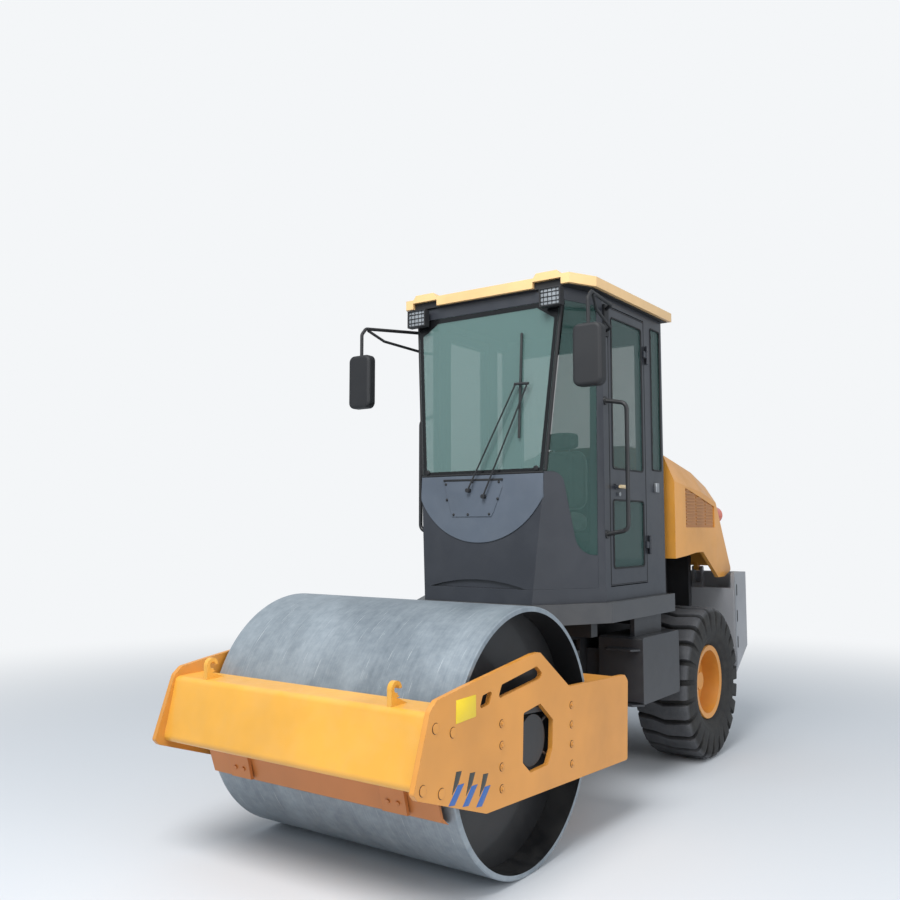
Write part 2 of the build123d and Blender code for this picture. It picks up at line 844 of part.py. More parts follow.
def rear_bumper():
    """Counterweight box behind the wheels, with its underside sloping up to the rear."""
    outline = [
        (bumper_front, bumper_top),
        (bumper_front, bumper_low),
        (rear_x, bumper_low + bumper_rise),
        (rear_x, bumper_top),
    ]
    cheek = prism("y", outline, bumper_half - 30, bumper_half)
    body = cheek + mirrored(cheek)
    back = prism(
        "y",
        [
            (rear_x + 70, bumper_top),
            (rear_x + 70, bumper_low + bumper_rise - 18),
            (rear_x, bumper_low + bumper_rise),
            (rear_x, bumper_top),
        ],
        -bumper_half + 10,
        bumper_half - 10,
    )
    body += back
    body += block(
        rail_back + seat_gap - 60, rail_back - seat_gap, -bumper_half + 10, bumper_half - 10, 620, bumper_top - 120
    )
    for y in (-330, 330):
        ear = block(hood_back - 18, hood_back + 18, y - 44, y + 44, bumper_top - 160, hood_hinge_z)
        ear += bar((hood_back, y - 44, hood_hinge_z), (hood_back, y + 44, hood_hinge_z), 18)
        ear -= block(hood_back - 30, hood_back + 30, y - 24, y + 24, bumper_top - 90, hood_hinge_z + 20)
        ear += bar((hood_back, y - 30, hood_hinge_z), (hood_back, y + 30, hood_hinge_z), 8)
        body += ear
        body += block(rear_x + 60, hood_back + 22, y - 44, y + 44, bumper_top - 160, bumper_top - 90)
    return body


def hood_section(x, half, low, shoulder, brow, crown):
    points = [
        (half, low),
        (half, shoulder),
        (half - 80, brow),
        (half * 0.45, crown),
        (-half * 0.45, crown),
        (-half + 80, brow),
        (-half, shoulder),
        (-half, low),
    ]
    return make_face(Polyline(*[(x, y, z) for y, z in points], close=True))


def hood_body(inset):
    low = 1180.0
    sections = [
        hood_section(hood_front - inset, hood_half - inset, low, 1950 - inset, 2135 - inset, 2215 - inset),
        hood_section(drum_x - 2750, 636 - inset, low, 1890 - inset, 2040 - inset, 2110 - inset),
        hood_section(drum_x - 3090 + inset * 0.4, 622 - inset, low, 1822 - inset, 1945 - inset, 2000 - inset),
        hood_section(hood_back + inset, 600 - inset, low, 1312 - inset, 1325 - inset, 1335 - inset),
    ]
    return loft(sections, ruled=True)


recess_depth = 14.0
recess_front = drum_x - 2405.0
recess_back = drum_x - 3050.0
recess_low = 1632.0
louvre_thick = 5.0
louvre_panels = 3
louvre_rib = 26.0
slat_pitch = 24.0
slat_high = 9.0
slat_depth = 7.0
rear_slots = 7
rear_slot_low = 1420.0
rear_slot_pitch = 52.0
rear_slot_high = 22.0
rear_slot_half = 330.0


def recess(depth, gap=0.0):
    """Sunk area in the hood's left side, under the shoulder line."""
    area = [
        (recess_front - gap, recess_low + gap),
        (recess_front - gap, 1912 - gap),
        (recess_back + gap, 1790 - gap),
        (recess_back + gap, recess_low + gap),
    ]
    cut = prism("y", area, 400, hood_half + 50)
    return (hood_body(-20) - hood_body(depth)) & cut


def hood_louvres():
    """Three slatted panels in each side's sunk area, on one backing plate."""
    layer = recess(recess_depth - seat_gap, seat_gap) - recess(recess_depth - seat_gap - louvre_thick, -5)
    slats = recess(recess_depth - louvre_thick, seat_gap) - recess(recess_depth - louvre_thick - slat_depth, -5)
    width = (recess_front - recess_back - louvre_rib * (louvre_panels + 1)) / louvre_panels
    rows = int((1912 - recess_low) / slat_pitch)
    keep = Part()
    for i in range(louvre_panels):
        x0 = recess_back + louvre_rib + i * (width + louvre_rib)
        for k in range(rows):
            z = recess_low + 20 + k * slat_pitch
            keep += block(x0, x0 + width, 400, hood_half + 50, z, z + slat_high)
    side = layer + (slats & keep)
    return Part() + [side, mirrored(side)]


def hood_shell():
    """One-piece engine hood, open below, arched over the wheels and hinged at its rear foot."""
    shell = hood_body(0) - hood_body(hood_wall)
    shell -= recess(recess_depth) + mirrored(recess(recess_depth))
    for i in range(rear_slots):
        z = rear_slot_low + i * rear_slot_pitch
        shell -= block(hood_back - 100, drum_x - 3140, -rear_slot_half, rear_slot_half, z, z + rear_slot_high)
    under = [
        (hood_front + 50, hood_low),
        (drum_x - 2420, hood_low + 18),
        (drum_x - 2600, 1450),
        (drum_x - 2760, 1452),
        (drum_x - 3120, 1250),
        (drum_x - 3290, 1250),
        (hood_back - 20, 1296),
        (hood_back - 20, 1000),
        (hood_front + 50, 1000),
    ]
    shell -= prism("y", under, -800, 800)
    back = block(hood_back - 200, hood_back + 60, -500, 500, 1100, hood_hinge_z + 24)
    shell -= back
    for y in (-330, 330):
        outline = [(-14, -12), (40, -12), (70, 110), (34, 60), (-10, 14)]
        lug = prism("y", [(hood_back + x, hood_hinge_z + z) for x, z in outline], y - 18, y + 18)
        lug += bar((hood_back, y - 18, hood_hinge_z), (hood_back, y + 18, hood_hinge_z), 20)
        lug -= bar((hood_back, y - 20, hood_hinge_z), (hood_back, y + 20, hood_hinge_z), 8 + pin_gap)
        shell += lug
    return shell


def tail_lamps():
    """A round lamp standing out at each rear shoulder of the hood."""
    lamp = bar((drum_x - 3170, 520, 1730), (drum_x - 3345, 520, 1730), 66)
    lamp -= hood_body(-seat_gap)
    return Part() + [lamp, mirrored(lamp)]


def hitch_block():
    """Middle joint: upright pin, swing shaft and the two steering arms."""
    low = joint_z - fork_gap + 2
    high = joint_z + fork_gap - 2
    body = bar((pivot_x, 0, low), (pivot_x, 0, high), 95)
    body += bar(
        (pivot_x, 0, joint_z - fork_gap - fork_thick - 12),
        (pivot_x, 0, joint_z + fork_gap + fork_thick + 12),
        pivot_pin_radius,
    )
    body += bar((pivot_x, 0, joint_z), (pivot_x + 150, 0, joint_z), 120)
    body += bar((pivot_x + 140, 0, joint_z), (drum_x - rear_beam_back + 90, 0, joint_z), swing_shaft_radius)
    for low in (joint_z - arm_gap - arm_thick + 8, joint_z + arm_gap - 8):
        arm = prism(
            "z",
            [
                (pivot_x - 60, -60),
                (pivot_x - 60, 60),
                (pivot_x + arm_forward - 42, arm_side + 42),
                (pivot_x + arm_forward + 42, arm_side + 42),
                (pivot_x + 110, 60),
                (pivot_x + 110, -60),
                (pivot_x + arm_forward + 42, -arm_side - 42),
                (pivot_x + arm_forward - 42, -arm_side - 42),
            ],
            low,
            low + arm_thick,
        )
        body += arm
    return body


def cylinder_line():
    """Unit vector and length from the root pin to the rod's eye, on the left."""
    run = Vector(pivot_x + arm_forward - cylinder_root_x, arm_side - cylinder_root_y, 0)
    return run.normalized(), run.length


def on_line(distance):
    direction, _ = cylinder_line()
    point = Vector(cylinder_root_x, cylinder_root_y, joint_z) + direction * distance
    return (point.X, point.Y, point.Z)


def eye(distance):
    x, y, z = on_line(distance)
    return bar((x, y, z - eye_half), (x, y, z + eye_half), eye_radius)


def cylinder_barrel():
    body = bar(on_line(40), on_line(cylinder_body), cylinder_radius) + eye(0)
    body += bar(on_line(20), on_line(42), eye_half - 2)
    body -= bar(on_line(60), on_line(cylinder_body + 1), ram_radius + pin_gap)
    x, y, z = on_line(0)
    return body - bar((x, y, z - 50), (x, y, z + 50), cylinder_pin_radius + pin_gap)


def cylinder_rod():
    _, length = cylinder_line()
    return bar(on_line(200), on_line(length - 10), ram_radius) + eye(length)


def side_plate():
    """Left cheek of the drum frame, with its slots, its six-sided window and bolt heads."""
    outline = [
        (922, 565),
        (front_reach + 1.9, 592),
        (840, 895),
        (795, 931),
        (616, 957),
        (26, 1033),
        (-40, 1033),
        (-331, 833),
        (-985, 806),
        (-1025, 770),
        (-1004, 337),
        (433, 398),
    ]
    radii = [14, 14, 30, 30, 120, 30, 30, 40, 30, 30, 16, 60]
    plate = rounded_prism("y", [(drum_x + x, z) for x, z in outline], radii, plate_inner, plate_outer)
    window = [(-38, 792), (117, 772), (127, 549), (57, 491), (-109, 495), (-151, 560), (-160, 697)]
    slots = [
        ([(338, 868), (304, 928), (-8, 971), (-67, 928), (-29, 909)], 14),
        ([(486, 847), (459, 903), (380, 914), (405, 858)], 12),
        (window, 12),
    ]
    for points, radius in slots:
        cut = [(drum_x + x, z) for x, z in points]
        plate -= rounded_prism("y", cut, [radius] * len(cut), plate_inner - 5, plate_outer + 5)
    column_front = [(307, 757 - 94 * i) for i in range(4)]
    column_back = [(-350, 737 - 96 * i) for i in range(4)]
    for x, z in column_front + column_back:
        plate += bar((drum_x + x, plate_outer - 1, z), (drum_x + x, plate_outer + 4, z), bolt_radius)
    for x, z in ((804, 822), (682, 785), (889, 597), (764, 558)):
        plate += bar((drum_x + x, plate_outer - 1, z), (drum_x + x, plate_outer + 4, z), bolt_radius + 4)
    return plate


def hook(y):
    """J-shaped lifting hook, open to the rear."""
    stem_low = beam_top - seat_gap
    centre_z = hook_centre_z
    ring = hook_radius + hook_wall
    centre_x = hook_x
    body = bar((centre_x, y, centre_z), (centre_x, y + hook_thick, centre_z), ring)
    body += block(centre_x, centre_x + ring, y, y + hook_thick, stem_low - 30, centre_z)
    foot = [
        (centre_x + ring, stem_low - 30),
        (centre_x + ring, stem_low + 34),
        (centre_x - 10, stem_low + 30),
        (centre_x - 70, stem_low + 4),
        (centre_x - 70, stem_low - 30),
    ]
    body += prism("y", foot, y, y + hook_thick)
    body -= bar((centre_x, y - 1, centre_z), (centre_x, y + hook_thick + 1, centre_z), hook_radius)
    mouth = [
        (centre_x, centre_z),
        (centre_x - 60, centre_z + 4),
        (centre_x - 60, centre_z - 40),
        (centre_x - 8, centre_z - 26),
    ]
    return body - prism("y", mouth, y - 1, y + hook_thick + 1)


def front_beam():
    """Folded plate beam between the side plates, with the two lifting hooks."""
    half = plate_inner - seat_gap
    outer = [(902, beam_low), (832, beam_top), (beam_back, beam_top + 5), (beam_back + 40, beam_low)]
    radii = [30, 30, 12, 12]
    beam = rounded_prism("y", [(drum_x + x, z) for x, z in outer], radii, -half, half)
    inner = [
        (902 - 22, beam_low + beam_wall),
        (832 - 16, beam_top - beam_wall),
        (beam_back + beam_wall, beam_top + 5 - beam_wall),
        (beam_back + 40 + beam_wall, beam_low + beam_wall),
    ]
    beam -= prism("y", [(drum_x + x, z) for x, z in inner], -half + beam_wall, half - beam_wall)
    for y in (-hook_y - hook_thick / 2, hook_y - hook_thick / 2):
        beam += hook(y)
    return beam


def rear_beam():
    """Box beam behind the drum, with the housing of the swing shaft."""
    half = plate_inner - seat_gap
    x0 = drum_x - rear_beam_back
    x1 = drum_x - rear_beam_front
    beam = block(x0, x1, -half, half, rear_beam_low, rear_beam_top)
    beam -= block(x0 + 18, x1 - 18, -half + 18, half - 18, rear_beam_low + 18, rear_beam_top - 18)
    beam += bar((x0 - 25, 0, joint_z), (x1 - 60, 0, joint_z), swing_house_radius)
    beam -= bar((x0 - 30, 0, joint_z), (drum_x - rear_beam_back + 100, 0, joint_z), swing_shaft_radius + pin_gap)
    return beam


def scraper_edge(height):
    """Distance from the drum's axis to its surface plus the scraper's gap, at a height."""
    return math.sqrt(drum_radius**2 - (drum_radius - height) ** 2) + scraper_gap


def scrapers():
    """Scraper blade under each beam, held by two brackets."""
    tip = 372.0
    top = beam_low - seat_gap
    x_tip = scraper_edge(tip)
    front_outline = [
        (x_tip, tip),
        (x_tip + 46, 392),
        (x_tip + 110, top),
        (x_tip + 110 - scraper_thick, top),
        (x_tip + 40, 408),
    ]
    blade = prism("y", [(drum_x + x, z) for x, z in front_outline], -scraper_half, scraper_half)
    for y in (-486, 486):
        bracket = [(x_tip + 58, 398), (x_tip + 76, 398), (x_tip + 124, top), (x_tip + 104, top)]
        plate = prism("y", [(drum_x + x, z) for x, z in bracket], y - 70, y + 70)
        for dy in (-28, 28):
            plate += bar((drum_x + x_tip + 70, y + dy, 452), (drum_x + x_tip + 96, y + dy, 446), 11)
        blade += plate
    back_z = rear_beam_low - seat_gap
    x_back = scraper_edge(tip)
    rear_outline = [
        (-x_back, tip),
        (-x_back - 30, tip - 4),
        (-rear_beam_front - 40, back_z),
        (-rear_beam_front - 12, back_z),
    ]
    rear = prism("y", [(drum_x + x, z) for x, z in rear_outline], -scraper_half, scraper_half)
    return Part() + [blade, rear]


def drum_supports():
    """Bolted carrier inside each side plate, with the journal that the drum turns on."""
    y0 = drum_width / 2 + move_gap
    y1 = plate_inner - seat_gap
    outline = [(-390, 440), (350, 440), (350, 790), (-390, 760)]
    carrier = prism("y", [(drum_x + x, z) for x, z in outline], y0, y1)
    inner = [(-270, 460), (240, 460), (240, 765), (-270, 735)]
    carrier -= prism("y", [(drum_x + x, z) for x, z in inner], y0 - 1, y1 + 1)
    hub_low = drum_width / 2 - head_recess + drum_hub_reach + move_gap
    carrier += bar((drum_x, y0 - 4, drum_radius), (drum_x, y1, drum_radius), 120)
    for angle in range(45, 360, 90):
        a = math.radians(angle)
        reach = (230 * math.cos(a), 150 * math.sin(a))
        carrier += bar(
            (drum_x + 60 * math.cos(a), (y0 + y1) / 2, drum_radius + 60 * math.sin(a)),
            (drum_x + reach[0] * 1.3, (y0 + y1) / 2, drum_radius + reach[1] * 1.2),
            (y1 - y0) / 2 - 1,
        )
    carrier += bar((drum_x, hub_low, drum_radius), (drum_x, y1 - 1, drum_radius), 100)
    carrier += bar((drum_x, hub_low - 60, drum_radius), (drum_x, hub_low + 1, drum_radius), journal_radius)
    return Part() + [carrier, mirrored(carrier)]


def drum_shell():
    half = drum_width / 2
    outer = bar((drum_x, -half, drum_radius), (drum_x, half, drum_radius), drum_radius)
    outer = chamfer(outer.edges().filter_by(GeomType.CIRCLE), 5)
    return outer - bar((drum_x, -half - 1, drum_radius), (drum_x, half + 1, drum_radius), drum_radius - drum_wall)


def drum_heads():
    """Recessed end plates of the drum, each with its bearing hub."""
    y1 = drum_width / 2 - head_recess
    head = bar((drum_x, y1 - head_thick, drum_radius), (drum_x, y1, drum_radius), drum_radius - drum_wall - seat_gap)
    head += bar((drum_x, y1 - 1, drum_radius), (drum_x, y1 + drum_hub_reach, drum_radius), drum_hub_radius)
    head -= bar(
        (drum_x, y1 - head_thick - 1, drum_radius),
        (drum_x, y1 + drum_hub_reach + 1, drum_radius),
        journal_radius + pin_gap,
    )
    return Part() + [head, mirrored(head)]


door_upper = (1990.0, door_top - 67.0)
door_lower = (1384.0, 1798.0)


def door():
    """Left door, as thick as the wall, with both windows cut, its handle and hinge knuckles."""
    x0 = door_back + move_gap
    x1 = door_front - move_gap
    z0 = door_low + move_gap
    z1 = door_top - move_gap
    leaf = block(x0, x1, cab_half - cab_wall, cab_half, z0, z1)
    for low, high in (door_upper, door_lower):
        hole = block(x0 + door_rail, x1 - door_rail, cab_half - 90, cab_half + 40, low, high)
        leaf -= fillet(hole.edges().filter_by(Axis.Y), 22)
    grip_x = x1 - 105
    leaf += block(grip_x - 60, grip_x + 40, cab_half - 1, cab_half + 10, 1862, 1896)
    leaf += bar((grip_x - 55, cab_half + 5, 1879), (grip_x - 55, cab_half + 38, 1879), 8)
    leaf += bar((grip_x + 35, cab_half + 5, 1879), (grip_x + 35, cab_half + 38, 1879), 8)
    leaf += bar((grip_x - 62, cab_half + 38, 1879), (grip_x + 42, cab_half + 38, 1879), 9)
    for z in door_hinge_heights():
        knuckle = bar((hinge_x, hinge_y, z - 21), (hinge_x, hinge_y, z + 21), hinge_radius)
        knuckle += block(hinge_x, x0 + 30, hinge_y - 5, hinge_y + 1, z - 21, z + 21)
        knuckle += block(x0 + 2, x0 + 30, cab_half - 1, hinge_y + 1, z - 21, z + 21)
        knuckle -= bar((hinge_x, hinge_y, z - 30), (hinge_x, hinge_y, z + 30), hinge_pin_radius + pin_gap)
        leaf += knuckle
    return leaf


def door_glass():
    x0 = door_back + move_gap + door_rail + seat_gap
    x1 = door_front - move_gap - door_rail - seat_gap
    y1 = cab_half - glass_inset
    panes = []
    for low, high in (door_upper, door_lower):
        pane = block(x0, x1, y1 - glass_thick, y1, low + seat_gap, high - seat_gap)
        panes.append(fillet(pane.edges().filter_by(Axis.Y), 22))
    return Part() + panes


def save(name, shape):
    solids = [s for s in shape.solids() if s.volume > 1]
    whole = solids[0] if len(solids) == 1 else Compound(children=solids)
    export_step(whole, os.path.join("parts", name + ".step"))
    print(name, len(solids))


def main():
    os.makedirs("parts", exist_ok=True)
    save("chassis", chassis())
    save("deck", deck())
    save("cab_frame", cab_frame())
    save("front_panel", front_panel())
    save("shield_panel", shield_panel())
    save("rear_wall", rear_wall())
    save("roof_liner", roof_liner())
    save("roof_cap", roof_cap())
    save("windscreen", windscreen())
    save("cab_glass", Part() + side_glass().solids() + rear_glass().solids())
    save("seat_base", seat_base())
    save("seat_cushions", seat_cushions())
    save("steering_console", steering_console())
    save("work_lamps", work_lamps())
    save("mirrors", mirrors())
    save("grab_handles", grab_handles())
    save("wiper", wiper())
    save("side_tanks", side_tanks())
    save("rear_axle", rear_axle())
    save("engine_block", engine_block())
    save("radiator", radiator())
    save("rear_bumper", rear_bumper())
    save("hood_shell", hood_shell())
    save("hood_louvres", hood_louvres())
    save("tail_lamps", tail_lamps())
    save("hitch_block", hitch_block())
    save("front_beam", front_beam())
    save("rear_beam", rear_beam())
    save("scrapers", scrapers())
    save("drum_supports", drum_supports())
    save("drum_shell", drum_shell())
    save("drum_heads", drum_heads())
    paired = {
        "side_plate": side_plate,
        "door": door,
        "door_glass": door_glass,
        "tyre": tyre,
        "rim": rim,
        "cylinder_barrel": cylinder_barrel,
        "cylinder_rod": cylinder_rod,
    }
    for name, make in paired.items():
        left = make()
        save(name + "_left", left)
        save(name + "_right", mirrored(left))



main()
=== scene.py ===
import bpy
import bmesh
import math
import numpy as np
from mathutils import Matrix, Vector


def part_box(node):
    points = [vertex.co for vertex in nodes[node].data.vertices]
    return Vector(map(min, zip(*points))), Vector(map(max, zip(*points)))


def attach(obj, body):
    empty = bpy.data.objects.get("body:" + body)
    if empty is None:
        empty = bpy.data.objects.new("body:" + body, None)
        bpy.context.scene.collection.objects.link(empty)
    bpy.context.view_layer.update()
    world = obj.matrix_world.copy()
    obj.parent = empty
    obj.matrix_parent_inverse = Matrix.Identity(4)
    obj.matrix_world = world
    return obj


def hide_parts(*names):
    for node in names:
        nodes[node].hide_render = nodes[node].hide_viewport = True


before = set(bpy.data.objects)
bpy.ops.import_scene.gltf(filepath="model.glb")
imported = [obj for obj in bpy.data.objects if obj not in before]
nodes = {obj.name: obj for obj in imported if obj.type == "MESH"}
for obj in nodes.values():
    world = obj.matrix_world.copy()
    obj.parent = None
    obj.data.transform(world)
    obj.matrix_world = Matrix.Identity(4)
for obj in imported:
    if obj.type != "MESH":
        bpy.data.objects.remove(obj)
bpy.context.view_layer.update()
print("frame loaded,", len(nodes), "nodes")


# Metres, +X forward, +Y the machine's left, +Z up; sizes in the dictionaries are in metres too
def span(node):
    low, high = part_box(node)
    return np.array(low), np.array(high)


drumLow, drumHigh = span("drum_shell")
drumCentre = (drumLow + drumHigh) / 2
drumRadius = (drumHigh[2] - drumLow[2]) / 2
dx = drumCentre[0]  # places along the machine are counted from the drum's axle


# Shapes: every surface is a grid of points, rings one way and stations the other
# Quads between neighbouring rings, each ring closed on itself; open ends get a flat cap.
def skin(rings, wrapRings=False, caps=True):
    count, size = rings.shape[:2]
    start = np.arange(count if wrapRings else count - 1)[:, None]
    step = np.arange(size)[None, :]
    after = (start + 1) % count
    beside = (step + 1) % size
    quads = np.stack(
        [start * size + step, start * size + beside, after * size + beside, after * size + step],
        -1,
    )
    faces = quads.reshape(-1, 4).tolist()
    if caps and not wrapRings:
        faces += [list(range(size))[::-1], list(range((count - 1) * size, count * size))]
    return rings.reshape(-1, 3), faces


# Quads of an open grid.
def sheetGrid(points):
    rows, cols = points.shape[:2]
    a, b = np.meshgrid(np.arange(rows - 1), np.arange(cols - 1), indexing="ij")
    i = a * cols + b
    return points.reshape(-1, 3), np.stack([i, i + 1, i + cols + 1, i + cols], -1).reshape(-1, 4).tolist()


# Several shapes as one list of vertices and faces.
def joined(shapes):
    verts, faces, offset = [], [], 0
    for points, polys in shapes:
        verts.append(points)
        faces += [[i + offset for i in poly] for poly in polys]
        offset += len(points)
    return np.concatenate(verts), faces


# Each corner of a closed flat outline becomes an arc: the start point turned about the arc's centre.
def roundedOutline(corners, radius, steps=5):
    p = np.array(corners, float)
    radius = np.broadcast_to(np.asarray(radius, float), len(p))[:, None]
    before = p - np.roll(p, 1, 0)
    after = np.roll(p, -1, 0) - p
    before /= np.linalg.norm(before, axis=1, keepdims=True)
    after /= np.linalg.norm(after, axis=1, keepdims=True)
    cross = before[:, :1] * after[:, 1:] - before[:, 1:] * after[:, :1]
    turn = np.arctan2(cross, np.sum(before * after, 1, keepdims=True))
    first = p - before * radius * np.tan(np.abs(turn) / 2)
    side = np.concatenate([-before[:, 1:], before[:, :1]], 1)
    centre = first + side * radius * np.sign(turn)
    arm = (first - centre)[:, None, :]
    angle = turn[:, :, None] * np.linspace(0, 1, steps)[None, :, None]
    turned = np.concatenate(
        [
            arm[..., :1] * np.cos(angle) - arm[..., 1:] * np.sin(angle),
            arm[..., :1] * np.sin(angle) + arm[..., 1:] * np.cos(angle),
        ],
        -1,
    )
    return (centre[:, None, :] + turned).reshape(-1, 2)


# Each point moves inwards along the normal between its two neighbours.
def inset(outline, distance):
    run = np.roll(outline, -1, 0) - np.roll(outline, 1, 0)
    run /= np.linalg.norm(run, axis=1, keepdims=True) + 1e-12
    area = np.sum(outline[:, 0] * np.roll(outline[:, 1], -1) - np.roll(outline[:, 0], -1) * outline[:, 1])
    inward = np.stack([-run[:, 1], run[:, 0]], 1) * np.sign(area)
    return outline + inward * distance


# An outline carried from low to high, its two edges rounded by a quarter circle; place turns a, b, depth
# into x, y, z.
def plate(outline, place, low, high, edge=0.002, steps=3):
    angle = np.linspace(0, math.pi / 2, steps)
    sign = 1 if high > low else -1
    depth = np.concatenate(
        [low + sign * edge * (1 - np.cos(angle)), (high - sign * edge * (1 - np.cos(angle)))[::-1]],
    )
    shrink = np.concatenate([edge * (1 - np.sin(angle)), (edge * (1 - np.sin(angle)))[::-1]])
    rings = np.array([place(*inset(outline, s).T, np.full(len(outline), d)) for d, s in zip(depth, shrink)])
    return skin(np.moveaxis(rings, 1, 2))


def alongX(a, b, d):
    return np.array([d, a, b])


def alongY(a, b, d):
    return np.array([a, d, b])


def alongZ(a, b, d):
    return np.array([a, b, d])


# A box with rounded upright edges and softened ends.
def roundedBar(low, high, radius=0.01, edge=0.004):
    (x0, y0, z0), (x1, y1, z1) = low, high
    outline = roundedOutline([(x0, y0), (x1, y0), (x1, y1), (x0, y1)], radius)
    return plate(outline, alongZ, z0, z1, edge)


# A circle carried along a path, square to it, with its first arm turned as little as may be.
def tube(path, radius, sides=12, wrap=False):
    path = np.array(path, float)
    if wrap:
        run = np.roll(path, -1, 0) - np.roll(path, 1, 0)
    else:
        run = np.gradient(path, axis=0)
    run /= np.linalg.norm(run, axis=1, keepdims=True)
    guide = np.eye(3)[np.argmin(np.abs(run).max(0))]
    first = np.cross(run, guide)
    first /= np.linalg.norm(first, axis=1, keepdims=True)
    second = np.cross(run, first)
    angle = np.linspace(0, 2 * math.pi, sides, endpoint=False)[None, :, None]
    radius = np.broadcast_to(np.asarray(radius, float), len(path))[:, None, None]
    rings = path[:, None] + radius * (first[:, None] * np.cos(angle) + second[:, None] * np.sin(angle))
    return skin(rings, wrapRings=wrap)


# Pairs of radius and height turned about an axis through a centre.
def lathe(profile, centre, axis, sides=48, caps=True):
    profile = np.array(profile, float)
    axis = np.array(axis, float)
    guide = np.eye(3)[np.argmin(np.abs(axis))]
    first = np.cross(axis, guide)
    first /= np.linalg.norm(first)
    second = np.cross(axis, first)
    angle = np.linspace(0, 2 * math.pi, sides, endpoint=False)[None, :, None]
    circle = first * np.cos(angle) + second * np.sin(angle)
    rings = np.array(centre, float) + profile[:, :1, None] * circle + profile[:, 1:, None] * axis
    return skin(rings, caps=caps)


# A washer and a six-sided head with softened corners, copied to every place.
def boltHeads(places, axis, size=0.017, head=0.012, washer=0.004):
    small = 0.0006
    disc = lathe(
        [(small, 0), (size * 1.35, 0), (size * 1.35, washer * 0.7), (size * 1.25, washer), (small, washer)],
        (0, 0, 0),
        axis,
        24,
    )
    top = washer + head
    hexagon = lathe(
        [(size, washer), (size, top * 0.86), (size * 0.86, top), (small, top)],
        (0, 0, 0),
        axis,
        6,
    )
    template, faces = joined([disc, hexagon])
    places = np.array(places, float)
    verts = (places[:, None] + template[None]).reshape(-1, 3)
    offsets = np.arange(len(places)) * len(template)
    return verts, [[i + int(o) for i in face] for o in offsets for face in faces]


# A new object of the shape, riding on a body; normals point outwards, and flat parts stay crisp.
def piece(name, shape, material, body, smooth=True, angle=35):
    verts, faces = shape
    mesh = bpy.data.meshes.new(name)
    mesh.from_pydata(np.asarray(verts).tolist(), [], faces)
    work = bmesh.new()
    work.from_mesh(mesh)
    bmesh.ops.remove_doubles(work, verts=work.verts, dist=1e-6)
    bmesh.ops.recalc_face_normals(work, faces=work.faces)
    work.to_mesh(mesh)
    work.free()
    if smooth:
        mesh.shade_smooth()
        mesh.set_sharp_from_angle(angle=math.radians(angle))
    obj = bpy.data.objects.new(name, mesh)
    bpy.context.scene.collection.objects.link(obj)
    mesh.materials.append(material)
    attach(obj, body)
    return obj


# The shape and its mirror image in y; the faces are turned round again when the piece is made.
def bothSides(shape):
    verts, faces = shape
    return joined([shape, (verts * np.array([1, -1, 1]), [face[::-1] for face in faces])])


# Materials
# sRGB to linear: a straight line for the darkest values, else the 2.4 power of the lifted value.
def linear(hexCode):
    value = np.array([int(hexCode[i : i + 2], 16) / 255 for i in (1, 3, 5)])
    straight = value / 12.92
    curved = ((value + 0.055) / 1.055) ** 2.4
    return (*np.where(value <= 0.04045, straight, curved).tolist(), 1.0)


def perMetre(millimetres):
    return 1000.0 / millimetres


# One node with its settings and its links; sockets go by name or number, other names are the node's own.
def addNode(tree, kind, settings=None, links=None):
    node = tree.nodes.new(kind)
    for key, value in (settings or {}).items():
        if isinstance(key, int) or key in node.inputs:
            node.inputs[key].default_value = value
        else:
            setattr(node, key, value)
    for key, source in (links or {}).items():
        tree.links.new(source, node.inputs[key])
    return node


def newMaterial(name):
    material = bpy.data.materials.new(name)
    material.use_nodes = True
    tree = material.node_tree
    tree.nodes.clear()
    return material, tree


def ramp(tree, source, low, high, start=(0, 0, 0, 1), end=(1, 1, 1, 1)):
    node = addNode(tree, "ShaderNodeValToRGB", links={"Fac": source})
    node.color_ramp.elements[0].position = low
    node.color_ramp.elements[0].color = start
    node.color_ramp.elements[1].position = high
    node.color_ramp.elements[1].color = end
    return node.outputs["Color"]


def blendColours(tree, factor, first, second, mode="MIX"):
    node = addNode(tree, "ShaderNodeMix", {"data_type": "RGBA", "blend_type": mode})
    for key, value in ((0, factor), (6, first), (7, second)):
        if isinstance(value, (tuple, float, int)):
            node.inputs[key].default_value = value
        else:
            tree.links.new(value, node.inputs[key])
    return node.outputs[2]


